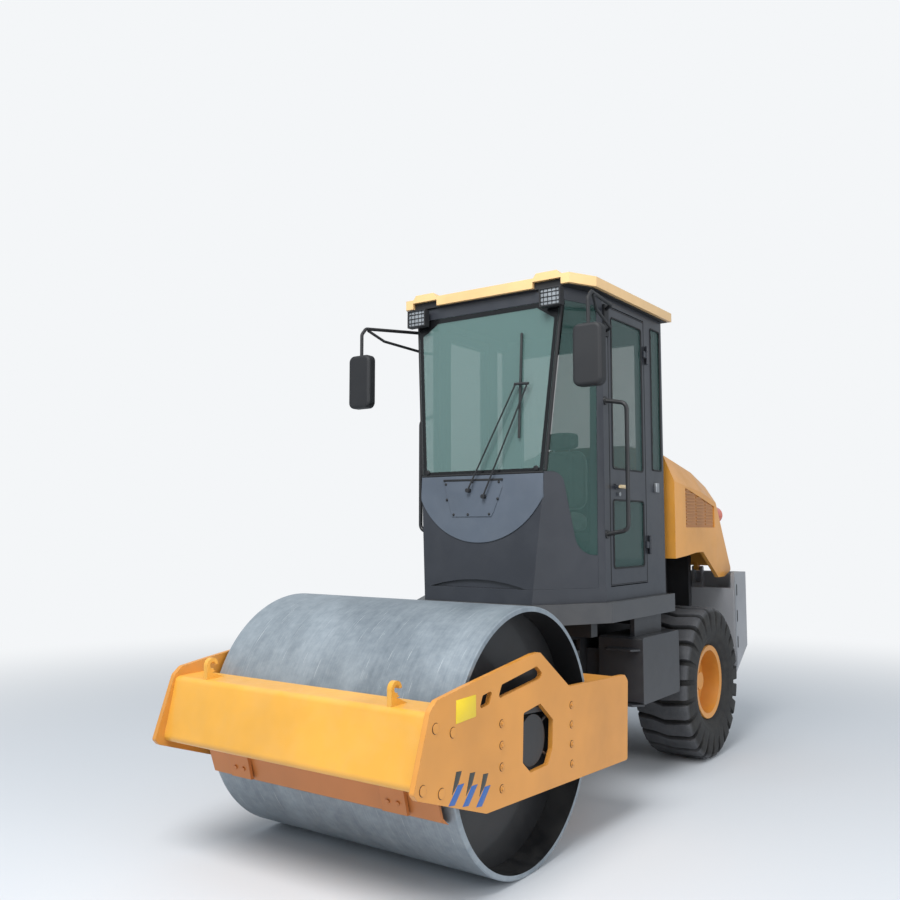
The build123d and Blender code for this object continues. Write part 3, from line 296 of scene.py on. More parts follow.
# Sprayed coat on steel or plastic: slow tone changes, orange peel, edge wear, dust on what faces up.
def coated(
    name,
    colour,
    wear,
    dust,
    rough=0.38,
    dustAmount=0.35,
    wearAmount=0.5,
    peel=0.12,
    coat=0.25,
    metallic=0.0,
):
    material, tree = newMaterial(name)
    place = addNode(tree, "ShaderNodeTexCoord").outputs["Object"]
    tone = addNode(
        tree,
        "ShaderNodeTexNoise",
        {"Scale": perMetre(420), "Detail": 3.0, "Roughness": 0.55},
        {"Vector": place},
    )
    base = linear(colour)
    lighter = tuple(min(1.0, c * 1.09) for c in base[:3]) + (1,)
    darker = tuple(c * 0.88 for c in base[:3]) + (1,)
    tint = ramp(tree, tone.outputs["Fac"], 0.3, 0.72, darker, lighter)
    round_ = addNode(tree, "ShaderNodeBevel", {"samples": 4, "Radius": 0.004})
    shape = addNode(tree, "ShaderNodeNewGeometry")
    edge = addNode(
        tree,
        "ShaderNodeVectorMath",
        {"operation": "DOT_PRODUCT"},
        {0: round_.outputs["Normal"], 1: shape.outputs["True Normal"]},
    )
    chips = addNode(
        tree,
        "ShaderNodeTexNoise",
        {"Scale": perMetre(22), "Detail": 5.0, "Roughness": 0.7},
        {"Vector": place},
    )
    nearEdge = ramp(tree, edge.outputs["Value"], 0.86, 0.995, (1, 1, 1, 1), (0, 0, 0, 1))
    patchy = ramp(tree, chips.outputs["Fac"], 0.53, 0.66)
    worn = addNode(tree, "ShaderNodeMath", {"operation": "MULTIPLY"}, {0: nearEdge, 1: patchy})
    wornMuch = addNode(
        tree,
        "ShaderNodeMath",
        {"operation": "MULTIPLY", 1: wearAmount},
        {0: worn.outputs[0]},
    )
    tint = blendColours(tree, wornMuch.outputs[0], tint, linear(wear))
    grime = addNode(
        tree,
        "ShaderNodeTexNoise",
        {"Scale": perMetre(160), "Detail": 6.0, "Roughness": 0.62, "Distortion": 0.4},
        {"Vector": place},
    )
    up = addNode(tree, "ShaderNodeSeparateXYZ", links={0: shape.outputs["Normal"]})
    upward = addNode(
        tree,
        "ShaderNodeMapRange",
        {"From Min": -0.3, "From Max": 1.0, "To Min": 0.12, "To Max": 1.0},
        {"Value": up.outputs["Z"]},
    )
    cloud = ramp(tree, grime.outputs["Fac"], 0.42, 0.78)
    settled = addNode(tree, "ShaderNodeMath", {"operation": "MULTIPLY"}, {0: cloud, 1: upward.outputs[0]})
    dusty = addNode(
        tree,
        "ShaderNodeMath",
        {"operation": "MULTIPLY", 1: dustAmount},
        {0: settled.outputs[0]},
    )
    tint = blendColours(tree, dusty.outputs[0], tint, linear(dust))
    peelNoise = addNode(
        tree,
        "ShaderNodeTexNoise",
        {"Scale": perMetre(5), "Detail": 2.0},
        {"Vector": place},
    )
    bump = addNode(
        tree,
        "ShaderNodeBump",
        {"Strength": peel, "Distance": 0.0006},
        {"Height": peelNoise.outputs["Fac"], "Normal": round_.outputs["Normal"]},
    )
    gloss = addNode(
        tree,
        "ShaderNodeMapRange",
        {"To Min": rough, "To Max": min(1.0, rough + 0.45)},
        {"Value": settled.outputs[0]},
    )
    shader = addNode(
        tree,
        "ShaderNodeBsdfPrincipled",
        {"Metallic": metallic, "IOR": 1.5, "Coat Weight": coat, "Coat Roughness": 0.12},
        {"Base Color": tint, "Roughness": gloss.outputs[0], "Normal": bump.outputs[0]},
    )
    addNode(tree, "ShaderNodeOutputMaterial", links={"Surface": shader.outputs[0]})
    return material


# Toughened tinted glass: mirror-smooth, green-grey, part of the light passes; its pale base colour, drawn
# partly opaque, is painted reflection of bright surroundings over the real green tint.
def tintedGlassPaintedReflection(name, colour, opacity):
    material, tree = newMaterial(name)
    place = addNode(tree, "ShaderNodeTexCoord").outputs["Object"]
    smear = addNode(
        tree,
        "ShaderNodeTexNoise",
        {"Scale": perMetre(300), "Detail": 4.0, "Roughness": 0.6},
        {"Vector": place},
    )
    film = addNode(
        tree,
        "ShaderNodeMapRange",
        {"To Min": 0.02, "To Max": 0.09},
        {"Value": smear.outputs["Fac"]},
    )
    # painted reflection: the partly opaque base colour gives the glass a milky paleness that stands in for
    # reflected surroundings
    shader = addNode(
        tree,
        "ShaderNodeBsdfPrincipled",
        {"Base Color": linear(colour), "IOR": 1.52, "Alpha": opacity, "Specular IOR Level": 0.9},
        {"Roughness": film.outputs[0]},
    )
    addNode(tree, "ShaderNodeOutputMaterial", links={"Surface": shader.outputs[0]})
    return material


orangeEnamel = coated("orangeEnamel", "#E9AA40", "#7A5A3C", "#C9B795", rough=0.34, dustAmount=0.22)
# painted shade: this second, darker orange is a shaded copy of the front beam's enamel, standing in for the
# shade on faces turned away from the key light
shadedOrangeEnamel = coated("shadedOrangeEnamel", "#D8923C", "#6E543A", "#BFAE92", rough=0.42, dustAmount=0.16)
scraperEnamel = coated("scraperEnamel", "#C57A3C", "#5A4636", "#A89880", rough=0.5, dustAmount=0.3)
hoodEnamel = coated("hoodEnamel", "#DF9A3E", "#7A5A3C", "#C9B795", rough=0.34, dustAmount=0.22)
louvreEnamel = coated("louvreEnamel", "#B87A38", "#5A4636", "#A89880", rough=0.5, dustAmount=0.3)
roofShell = coated("roofShell", "#EEC489", "#C9A070", "#E3D3B6", rough=0.3, dustAmount=0.25, wearAmount=0.1)
charcoalEnamel = coated("charcoalEnamel", "#2D3037", "#5C6068", "#6A6C70", rough=0.36, dustAmount=0.16)
shieldEnamel = coated("shieldEnamel", "#545D69", "#8A929A", "#8E949A", rough=0.42, dustAmount=0.2)
tankEnamel = coated("tankEnamel", "#2E2F33", "#55575B", "#6A6964", rough=0.45, dustAmount=0.35)
deckEnamel = coated("deckEnamel", "#404144", "#66686B", "#7A7974", rough=0.45, dustAmount=0.4)
greyEnamel = coated("greyEnamel", "#9B9CA0", "#6A6B6E", "#B5B3AC", rough=0.45, dustAmount=0.3)
blackEnamel = coated("blackEnamel", "#1B1C1F", "#4A4B4E", "#5C5A55", rough=0.5, dustAmount=0.3)
grainedPlastic = coated(
    "grainedPlastic",
    "#1D1E21",
    "#2C2D30",
    "#4A4A48",
    rough=0.55,
    dustAmount=0.2,
    peel=0.4,
    coat=0.0,
)
castIron = coated(
    "castIron",
    "#2C2D2F",
    "#5A5B5D",
    "#5E5B54",
    rough=0.6,
    dustAmount=0.45,
    peel=0.5,
    coat=0.0,
)
# painted reflection: the windscreen's pale grey-green, partly opaque, stands in for the bright surroundings it
# reflects
screenGlass = tintedGlassPaintedReflection("screenGlass", "#6A8884", 0.55)
paneGlass = tintedGlassPaintedReflection("paneGlass", "#3E5C57", 0.42)

finishes = {
    "chassis": blackEnamel,
    "deck": deckEnamel,
    "cab_frame": charcoalEnamel,
    "front_panel": charcoalEnamel,
    "shield_panel": shieldEnamel,
    "rear_wall": charcoalEnamel,
    "roof_liner": grainedPlastic,
    "roof_cap": roofShell,
    "windscreen": screenGlass,
    "cab_glass": paneGlass,
    "hood_louvres": louvreEnamel,
    "seat_base": grainedPlastic,
    "seat_cushions": grainedPlastic,
    "steering_console": grainedPlastic,
    "work_lamps": grainedPlastic,
    "mirrors": grainedPlastic,
    "grab_handles": blackEnamel,
    "wiper": blackEnamel,
    "side_tanks": tankEnamel,
    "rear_axle": castIron,
    "engine_block": castIron,
    "radiator": blackEnamel,
    "rear_bumper": greyEnamel,
    "hood_shell": hoodEnamel,
    "tail_lamps": grainedPlastic,
    "hitch_block": castIron,
    # painted shade: the side plates, rear beam and rims take the darker, shaded copy of the orange enamel
    "side_plate_left": shadedOrangeEnamel,
    "side_plate_right": shadedOrangeEnamel,
    "front_beam": orangeEnamel,
    "rear_beam": shadedOrangeEnamel,
    "scrapers": scraperEnamel,
    "drum_supports": blackEnamel,
    "drum_shell": castIron,
    # painted shade: the recessed drum heads get black enamel, standing in for the shade inside the drum
    "drum_heads": blackEnamel,
    "tyre_left": grainedPlastic,
    "tyre_right": grainedPlastic,
    "rim_left": shadedOrangeEnamel,
    "rim_right": shadedOrangeEnamel,
    "door_left": charcoalEnamel,
    "door_right": charcoalEnamel,
    "door_glass_left": paneGlass,
    "door_glass_right": paneGlass,
    "cylinder_barrel_left": blackEnamel,
    "cylinder_barrel_right": blackEnamel,
    "cylinder_rod_left": greyEnamel,
    "cylinder_rod_right": greyEnamel,
}
for nodeName, obj in nodes.items():
    obj.data.materials.clear()
    obj.data.materials.append(finishes.get(nodeName, blackEnamel))
print("materials on", len(nodes), "nodes")


# Drum: a smooth rolled shell with its own steel
# Rolled steel plate, polished by the ground: grey, streaked round the drum, with pale scratches and soft
# lighter and darker bands that are partly wipe marks and partly painted reflection.
def rolledSteel():
    material, tree = newMaterial("rolledSteel")
    place = addNode(tree, "ShaderNodeUVMap", {"uv_map": "wrap"}).outputs["UV"]
    along = addNode(tree, "ShaderNodeMapping", links={"Vector": place})
    along.inputs["Scale"].default_value = (perMetre(2600), perMetre(9), 1)
    streaks = addNode(
        tree,
        "ShaderNodeTexNoise",
        {"Scale": 1.0, "Detail": 4.0, "Roughness": 0.5},
        {"Vector": along.outputs[0]},
    )
    wide = addNode(tree, "ShaderNodeMapping", links={"Vector": place})
    wide.inputs["Scale"].default_value = (perMetre(900), perMetre(420), 1)
    wide.inputs["Rotation"].default_value = (0, 0, 0.35)
    wipeAndReflectionBands = addNode(
        tree,
        "ShaderNodeTexNoise",
        {"Scale": 1.0, "Detail": 3.0, "Roughness": 0.45, "Distortion": 1.2},
        {"Vector": wide.outputs[0]},
    )
    cloth = addNode(
        tree,
        "ShaderNodeTexNoise",
        {"Scale": perMetre(55), "Detail": 7.0, "Roughness": 0.68},
        {"Vector": place},
    )
    specks = addNode(
        tree,
        "ShaderNodeTexVoronoi",
        {"Scale": perMetre(46), "Randomness": 1.0},
        {"Vector": place},
    )
    dots = ramp(tree, specks.outputs["Distance"], 0.035, 0.06, (1, 1, 1, 1), (0, 0, 0, 1))
    fewDots = addNode(
        tree,
        "ShaderNodeMath",
        {"operation": "MULTIPLY"},
        {0: dots, 1: ramp(tree, cloth.outputs["Fac"], 0.56, 0.6)},
    )
    turned = addNode(tree, "ShaderNodeMapping", links={"Vector": place})
    turned.inputs["Scale"].default_value = (perMetre(210), perMetre(5), 1)
    turned.inputs["Rotation"].default_value = (0, 0, 0.9)
    scratch = addNode(
        tree,
        "ShaderNodeTexNoise",
        {"Scale": 1.0, "Detail": 2.0, "Roughness": 0.4},
        {"Vector": turned.outputs[0]},
    )
    lines = ramp(tree, scratch.outputs["Fac"], 0.7, 0.73)
    # painted reflection: the broad lighter and darker bands copy wipe marks and, in part, reflections seen on
    # the polished drum
    tint = ramp(tree, wipeAndReflectionBands.outputs["Fac"], 0.38, 0.62, linear("#7C8790"), linear("#A0AAB2"))
    tint = blendColours(
        tree,
        0.2,
        tint,
        ramp(tree, streaks.outputs["Fac"], 0.3, 0.7, linear("#77818A"), linear("#B4BDC4")),
    )
    tint = blendColours(
        tree,
        0.22,
        tint,
        ramp(tree, cloth.outputs["Fac"], 0.35, 0.65, linear("#6E7880"), linear("#B9C0C4")),
    )
    pale = addNode(tree, "ShaderNodeMath", {"operation": "MAXIMUM"}, {0: fewDots.outputs[0], 1: lines})
    soft = addNode(tree, "ShaderNodeMath", {"operation": "MULTIPLY", 1: 0.5}, {0: pale.outputs[0]})
    tint = blendColours(tree, soft.outputs[0], tint, linear("#DDE2E5"))
    rough = addNode(
        tree,
        "ShaderNodeMapRange",
        {"To Min": 0.36, "To Max": 0.62},
        {"Value": wipeAndReflectionBands.outputs["Fac"]},
    )
    bump = addNode(
        tree,
        "ShaderNodeBump",
        {"Strength": 0.25, "Distance": 0.0008},
        {"Height": streaks.outputs["Fac"]},
    )
    shader = addNode(
        tree,
        "ShaderNodeBsdfPrincipled",
        {"Metallic": 0.55},
        {"Base Color": tint, "Roughness": rough.outputs[0], "Normal": bump.outputs[0]},
    )
    addNode(tree, "ShaderNodeOutputMaterial", links={"Surface": shader.outputs[0]})
    return material


drum = {"wall": 0.025, "edge": 0.005, "sides": 288}


# Half section (radius, across) turned about the axle; the outer face carries angle and width as UV in
# metres.
def drumShell():
    half = (drumHigh[1] - drumLow[1]) / 2
    edge, wall = drum["edge"], drum["wall"]
    across = np.linspace(-half + edge, half - edge, 24)
    outer = np.stack([np.full(24, drumRadius), across], 1)
    inner = np.array(
        [
            [drumRadius - edge, half],
            [drumRadius - wall, half],
            [drumRadius - wall, -half],
            [drumRadius - edge, -half],
        ],
    )
    profile = np.concatenate([outer, inner])
    turn = np.linspace(0, 2 * math.pi, drum["sides"], endpoint=False)[:, None]
    rings = np.stack(
        [
            dx + profile[:, 0] * np.sin(turn),
            np.broadcast_to(profile[:, 1], (drum["sides"], len(profile))),
            drumCentre[2] - profile[:, 0] * np.cos(turn),
        ],
        -1,
    )
    shell = piece("drumShell", skin(rings, wrapRings=True), rolledSteel(), "drum", angle=30)
    # painted shade: the inner faces get black enamel, standing in for the shade inside the hollow drum
    shell.data.materials.append(blackEnamel)
    faces = len(shell.data.polygons)
    centres = np.empty(faces * 3)
    shell.data.polygons.foreach_get("center", centres)
    centres = centres.reshape(-1, 3) - np.array([dx, 0, drumCentre[2]])
    inside = np.hypot(centres[:, 0], centres[:, 2]) < drumRadius - wall * 0.9
    shell.data.polygons.foreach_set("material_index", inside.astype(np.int32))
    loops = len(shell.data.loops)
    index = np.empty(loops, np.int32)
    shell.data.loops.foreach_get("vertex_index", index)
    spot = np.empty(len(shell.data.vertices) * 3)
    shell.data.vertices.foreach_get("co", spot)
    spot = spot.reshape(-1, 3)[index] - np.array([dx, 0, drumCentre[2]])
    angle = np.arctan2(spot[:, 0], -spot[:, 2])
    start = np.empty(faces, np.int32)
    total = np.empty(faces, np.int32)
    shell.data.polygons.foreach_get("loop_start", start)
    shell.data.polygons.foreach_get("loop_total", total)
    first = np.repeat(angle[start], total)
    angle = first + (angle - first + math.pi) % (2 * math.pi) - math.pi
    layer = shell.data.uv_layers.new(name="wrap")
    layer.data.foreach_set("uv", np.stack([angle * drumRadius, spot[:, 1]], 1).ravel())
    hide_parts("drum_shell")


drumShell()
print("drum made")


# Tyres and rims
# Carbon-black rubber, moulded: matt, with ochre dust in the grooves and on the side walls.
def tyreRubber():
    material, tree = newMaterial("tyreRubber")
    place = addNode(tree, "ShaderNodeTexCoord").outputs["Object"]
    dust = addNode(
        tree,
        "ShaderNodeTexNoise",
        {"Scale": perMetre(90), "Detail": 6.0, "Roughness": 0.65},
        {"Vector": place},
    )
    grain = addNode(
        tree,
        "ShaderNodeTexNoise",
        {"Scale": perMetre(6), "Detail": 3.0, "Roughness": 0.6},
        {"Vector": place},
    )
    tread = addNode(tree, "ShaderNodeAttribute", {"attribute_name": "tread"})
    tint = ramp(tree, dust.outputs["Fac"], 0.38, 0.74, linear("#1B1B1D"), linear("#33322F"))
    tint = blendColours(
        tree,
        tread.outputs["Fac"],
        tint,
        ramp(tree, dust.outputs["Fac"], 0.3, 0.7, linear("#46474B"), linear("#5E5F62")),
    )
    tint = blendColours(
        tree,
        0.18,
        tint,
        ramp(tree, grain.outputs["Fac"], 0.4, 0.7, linear("#1C1C1E"), linear("#55524C")),
    )
    bump = addNode(
        tree,
        "ShaderNodeBump",
        {"Strength": 0.35, "Distance": 0.001},
        {"Height": grain.outputs["Fac"]},
    )
    shader = addNode(
        tree,
        "ShaderNodeBsdfPrincipled",
        {"Roughness": 0.78, "IOR": 1.5},
        {"Base Color": tint, "Normal": bump.outputs[0]},
    )
    addNode(tree, "ShaderNodeOutputMaterial", links={"Surface": shader.outputs[0]})
    return material


tyre = {
    "lugs": 24,
    "share": 0.72,
    "height": 0.038,
    "wall": 0.05,
    "zigzag": [(-1.0, 0.020), (-0.5, 0.014), (0.05, -0.022), (1.0, -0.002)],
    "seat": 0.2325,
    "flange": 0.255,
}
rubber = tyreRubber()


# Casing curve pushed out to the lugs' curve where a lug is; the grid's rows follow the zigzag, so the
# walls stay crisp.
def tyreShape(side):
    low, high = span("tyre_left")
    radius = (high[2] - low[2]) / 2
    half = (high[1] - low[1]) / 2
    middle = (low[1] + high[1]) / 2
    centre = np.array([(low[0] + high[0]) / 2, 0, radius])
    top = radius - 0.0008
    shoulder = radius - 0.060
    bead, seat = tyre["flange"], tyre["seat"]
    casing = [
        (seat, 0.58), (seat + 0.004, 0.64), (bead + 0.010, 0.74), (bead + 0.030, 0.84),
        (bead + 0.036, 0.855), (bead + 0.042, 0.865),
        (bead + 0.070, 0.93), (bead + 0.074, 0.945), (bead + 0.084, 0.95), (bead + 0.110, 0.985),
        (shoulder - 0.078, 0.975),
        (shoulder - 0.040, 0.945), (shoulder - 0.004, 0.86), (top - tyre["height"] - 0.006, 0.76),
        (top - tyre["height"], 0.66),
    ]
    lugCurve = [
        *casing[:9], (bead + 0.110, 0.985), (shoulder - 0.074, 0.992), (shoulder - 0.012, 0.992),
        (shoulder + 0.024, 0.965), (top - 0.010, 0.90), (top, 0.80),
    ]
    across = [0.62, 0.5, 0.38, 0.22, 0.05, -0.1, -0.24, -0.38]

    def whole(curve, crown):
        outerSide = np.array(curve)
        flat = np.array([(crown, a) for a in across])
        innerSide = outerSide[::-1] * np.array([1, -1])
        return np.concatenate([outerSide, flat, innerSide])

    base = whole(casing, top - tyre["height"])
    lifted = whole(lugCurve, top)
    share = tyre["share"] / 2
    wall = tyre["wall"]
    u = np.array(
        [
            -0.5,
            -share - wall,
            -share - wall * 0.3,
            -share + 0.01,
            -share + 0.03,
            -0.14,
            0.14,
            share - 0.03,
            share - 0.01,
            share + wall * 0.3,
            share + wall,
        ],
    )
    lift = np.array([0, 0, 0.12, 0.94, 1, 1, 1, 1, 0.94, 0.12, 0])
    pitch = 2 * math.pi / tyre["lugs"]
    line = np.array(tyre["zigzag"])
    shift = np.interp(base[:, 1], line[:, 0], line[:, 1]) / radius
    turn = ((np.arange(tyre["lugs"])[:, None] + u[None, :]) * pitch).ravel()[:, None] + shift[None, :]
    raised = np.tile(lift, tyre["lugs"])[:, None, None]
    curve = base[None] * (1 - raised) + lifted[None] * raised
    rings = np.stack(
        [np.sin(turn) * curve[..., 0], curve[..., 1] * half, -np.cos(turn) * curve[..., 0]],
        -1,
    )
    rings = rings + centre + np.array([0, middle, 0])
    rings[..., 1] *= side
    return skin(rings, wrapRings=True)


for name, side in (("left", 1), ("right", -1)):
    skinOfTyre = piece("tyreSkin_" + name, tyreShape(side), rubber, "wheel_" + name, angle=32)
    count = len(skinOfTyre.data.vertices)
    spot = np.empty(count * 3)
    skinOfTyre.data.vertices.foreach_get("co", spot)
    low, high = span("tyre_left")
    radius = (high[2] - low[2]) / 2
    spot = spot.reshape(-1, 3) - np.array([(low[0] + high[0]) / 2, 0, radius])
    # 0 in the grooves, 1 on the lugs' tops
    rise = np.clip((np.hypot(spot[:, 0], spot[:, 2]) - radius + 0.030) / 0.018, 0, 1)
    skinOfTyre.data.attributes.new("tread", "FLOAT", "POINT").data.foreach_set(
        "value",
        rise.astype(np.float32),
    )
    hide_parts("tyre_" + name)
print("tyres made")


# Painted marks on the side plates: three two-tone slashes and one blank label, places from the drum's axle
marks = {
    "stripeFoot": (0.716, 0.496),
    "stripeTop": (0.660, 0.622),
    "stripeStep": (-0.101, -0.026),
    "stripeWidth": 0.045,
    "label": ((0.663, 0.815), (0.512, 0.822), (0.512, 0.915), (0.660, 0.912)),
    "lift": 0.0008,
}
blueFilm = coated("blueFilm", "#2C62AC", "#2C62AC", "#7C8794", rough=0.4, dustAmount=0.1, wearAmount=0.0)
greyFilm = coated("greyFilm", "#33352F", "#33352F", "#66665F", rough=0.45, dustAmount=0.1, wearAmount=0.0)
yellowFilm = coated(
    "yellowFilm",
    "#F7D417",
    "#F7D417",
    "#C9B795",
    rough=0.4,
    dustAmount=0.06,
    wearAmount=0.0,
)


def flatFilm(corners, face, side, lift, radius=0.003):
    outline = roundedOutline([(dx + x, z) for x, z in corners], radius)
    y = face * side
    return plate(outline, alongY, y - side * 0.001, y + side * lift, 0.0002)


def plateMarks(name, side):
    face = 0.813
    blue, grey = [], []
    for i in range(3):
        sx, sz = marks["stripeStep"][0] * i, marks["stripeStep"][1] * i
        fx, fz = marks["stripeFoot"][0] + sx, marks["stripeFoot"][1] + sz
        tx, tz = marks["stripeTop"][0] + sx, marks["stripeTop"][1] + sz
        w = marks["stripeWidth"]
        mx, mz = fx * 0.42 + tx * 0.58, fz * 0.42 + tz * 0.58
        blue.append(
            flatFilm(
                [(fx, fz), (fx - w, fz - 0.006), (tx - w - 0.014, tz - 0.058), (tx - 0.012, tz - 0.056)],
                face,
                side,
                marks["lift"],
                0.001,
            ),
        )
        grey.append(
            flatFilm(
                [(mx + 0.008, mz - 0.036), (tx - 0.016, tz - 0.05), (tx - w * 0.9, tz - 0.004), (tx, tz)],
                face,
                side,
                marks["lift"] * 0.7,
                0.001,
            ),
        )
    piece("slashes_" + name, joined(blue), blueFilm, "drum_frame")
    piece("slashTops_" + name, joined(grey), greyFilm, "drum_frame")
    piece(
        "blankLabel_" + name,
        flatFilm(marks["label"], face, side, marks["lift"]),
        yellowFilm,
        "drum_frame",
    )


for name, side in (("left", 1), ("right", -1)):
    plateMarks(name, side)
print("marks made")


# Cab details: printed band and rubber round the glass, lamps, mirrors, latch
def plain(name, colour, rough, metallic=0.0, coat=0.0, grain=6.0, bumpHeight=0.2, alpha=1.0):
    material, tree = newMaterial(name)
    place = addNode(tree, "ShaderNodeTexCoord").outputs["Object"]
    grainNoise = addNode(
        tree,
        "ShaderNodeTexNoise",
        {"Scale": perMetre(grain), "Detail": 4.0, "Roughness": 0.6},
        {"Vector": place},
    )
    wide = addNode(
        tree,
        "ShaderNodeTexNoise",
        {"Scale": perMetre(140), "Detail": 3.0, "Roughness": 0.55},
        {"Vector": place},
    )
    base = linear(colour)
    tint = ramp(
        tree,
        wide.outputs["Fac"],
        0.3,
        0.7,
        tuple(c * 0.84 for c in base[:3]) + (1,),
        tuple(min(1.0, c * 1.12) for c in base[:3]) + (1,),
    )
    bump = addNode(
        tree,
        "ShaderNodeBump",
        {"Strength": bumpHeight, "Distance": 0.0005},
        {"Height": grainNoise.outputs["Fac"]},
    )
    gloss = addNode(
        tree,
        "ShaderNodeMapRange",
        {"To Min": rough * 0.8, "To Max": min(1.0, rough * 1.25)},
        {"Value": wide.outputs["Fac"]},
    )
    shader = addNode(
        tree,
        "ShaderNodeBsdfPrincipled",
        {"Metallic": metallic, "Coat Weight": coat, "Alpha": alpha},
        {"Base Color": tint, "Roughness": gloss.outputs[0], "Normal": bump.outputs[0]},
    )
    addNode(tree, "ShaderNodeOutputMaterial", links={"Surface": shader.outputs[0]})
    return material


sealRubber = plain("sealRubber", "#17181A", 0.6, grain=3.0)  # extruded EPDM: matt black, faint grain
# black enamel fired on glass: smooth, glossy
ceramicPrint = plain("ceramicPrint", "#101113", 0.22, grain=40.0, bumpHeight=0.02)
# silvered float glass
mirrorSilver = plain("mirrorSilver", "#C9D1D6", 0.03, metallic=1.0, grain=80.0, bumpHeight=0.01)
# ribbed lamp glass over a bright reflector
lensGlass = plain("lensGlass", "#8F9498", 0.14, coat=0.6, grain=9.0, bumpHeight=0.5)
# moulded acrylic, orange-red, glossy
amberLens = plain("amberLens", "#D9531E", 0.16, coat=0.7, grain=12.0, bumpHeight=0.3)
# bright zinc plating on pressed steel
zincPlate = plain("zincPlate", "#A6A9AC", 0.38, metallic=0.8, grain=4.0)
gripPlastic = plain("gripPlastic", "#C9B48E", 0.45, coat=0.2, grain=3.0)  # pale moulded nylon
nodes["tail_lamps"].data.materials.clear()
nodes["tail_lamps"].data.materials.append(amberLens)

cab = {
    "foot": 1.19,
    "roof": 3.04,
    "noseFoot": 0.6025,
    "lean": 0.065,
    "creaseFoot": 0.380,
    "creaseRoof": 0.535,
    "wall": 0.630,
    "belt": 1.955,
    "header": 2.965,
}


# Height up the leaning front gives the place along the machine and the flat front's half width
def frontFace(z):
    return cab["noseFoot"] - cab["lean"] * (z - cab["foot"])


def creaseHalf(z):
    return cab["creaseFoot"] + (
        (cab["creaseRoof"] - cab["creaseFoot"]) * (z - cab["foot"]) / (cab["roof"] - cab["foot"])
    )


def onFront(a, b, d):
    return np.array([frontFace(b) + d, a, b])


# Two flat outlines with the same number of points, given a thickness: a band between them
def flatBand(outer, inner, place, low, high):
    loops = [(outer, low), (outer, high), (inner, high), (inner, low)]
    rings = np.array([place(*np.array(loop, float).T, np.full(len(loop), depth)) for loop, depth in loops])
    return skin(np.moveaxis(rings, 1, 2), wrapRings=True)


screen = {
    "side": 0.024,
    "top": 0.030,
    "foot": 0.018,
    "cornerWide": 0.150,
    "cornerDeep": 0.105,
    "print": (-0.0045, -0.0035),
    "edge": 0.013,
    "shoulder": 0.05,
}


def screenBand():
    low, high = cab["belt"] + 0.002, cab["header"] - 0.002
    footHalf, topHalf = creaseHalf(low) - screen["edge"], creaseHalf(high) - screen["edge"]
    lampEdge = high - screen["cornerDeep"]
    edgeHalf = creaseHalf(lampEdge) - screen["edge"]
    outer = [
        (footHalf, low), (edgeHalf, lampEdge), (topHalf, high), (topHalf - screen["cornerWide"], high),
        (-topHalf + screen["cornerWide"], high), (-topHalf, high), (-edgeHalf, lampEdge), (-footHalf, low),
    ]
    side, top = screen["side"], high - screen["top"]
    inner = [
        (footHalf - side, low + screen["foot"]), (edgeHalf - side, lampEdge),
        (topHalf - side - screen["shoulder"], lampEdge + 0.025), (topHalf - screen["cornerWide"], top),
        (-topHalf + screen["cornerWide"], top), (-topHalf + side + screen["shoulder"], lampEdge + 0.025),
        (-edgeHalf + side, lampEdge), (-footHalf + side, low + screen["foot"]),
    ]
    return flatBand(outer, inner, onFront, *screen["print"])


piece("screenBand", screenBand(), ceramicPrint, "rear_frame", smooth=False)
rise = np.linspace(cab["belt"] + 0.004, cab["header"] - 0.004, 30)
cornerLine = np.stack([frontFace(rise) - 0.010, creaseHalf(rise) - 0.0035, rise], 1)
piece("cornerSeals", bothSides(tube(cornerLine, 0.0105)), sealRubber, "rear_frame")
foot = np.linspace(-1, 1, 40)
sealLine = np.stack(
    [np.full(40, frontFace(1.949) - 0.001), foot * (creaseHalf(1.949) - 0.008), np.full(40, 1.949)],
    1,
)
piece("screenSeal", tube(sealLine, 0.0075), sealRubber, "rear_frame")


# Rubber bead round a window in the side wall, and the lip where the pane sits
def windowBead(x0, x1, z0, z1, y, radius=0.022, bead=0.0055):
    loop = roundedOutline([(x0, z0), (x1, z0), (x1, z1), (x0, z1)], radius, 6)
    return tube(np.stack([loop[:, 0], np.full(len(loop), y), loop[:, 1]], 1), bead, 8, wrap=True)


door = {
    "back": -0.4055,
    "front": 0.0435,
    "upper": (1.990, 2.925),
    "lower": (1.384, 1.798),
    "gripHeight": 1.879,
    "gripOut": 0.668,
    "margin": 0.042,
    "foot": 1.287,
    "head": 2.98,
    "lockOut": 0.640,
    "lockHeight": 1.835,
}
quarter = {"back": -0.7095, "front": -0.5595, "low": 2.010, "high": 2.965}


def mirroredIn(shape, side):
    verts, faces = shape
    return shape if side > 0 else (verts * np.array([1, -1, 1]), [face[::-1] for face in faces])


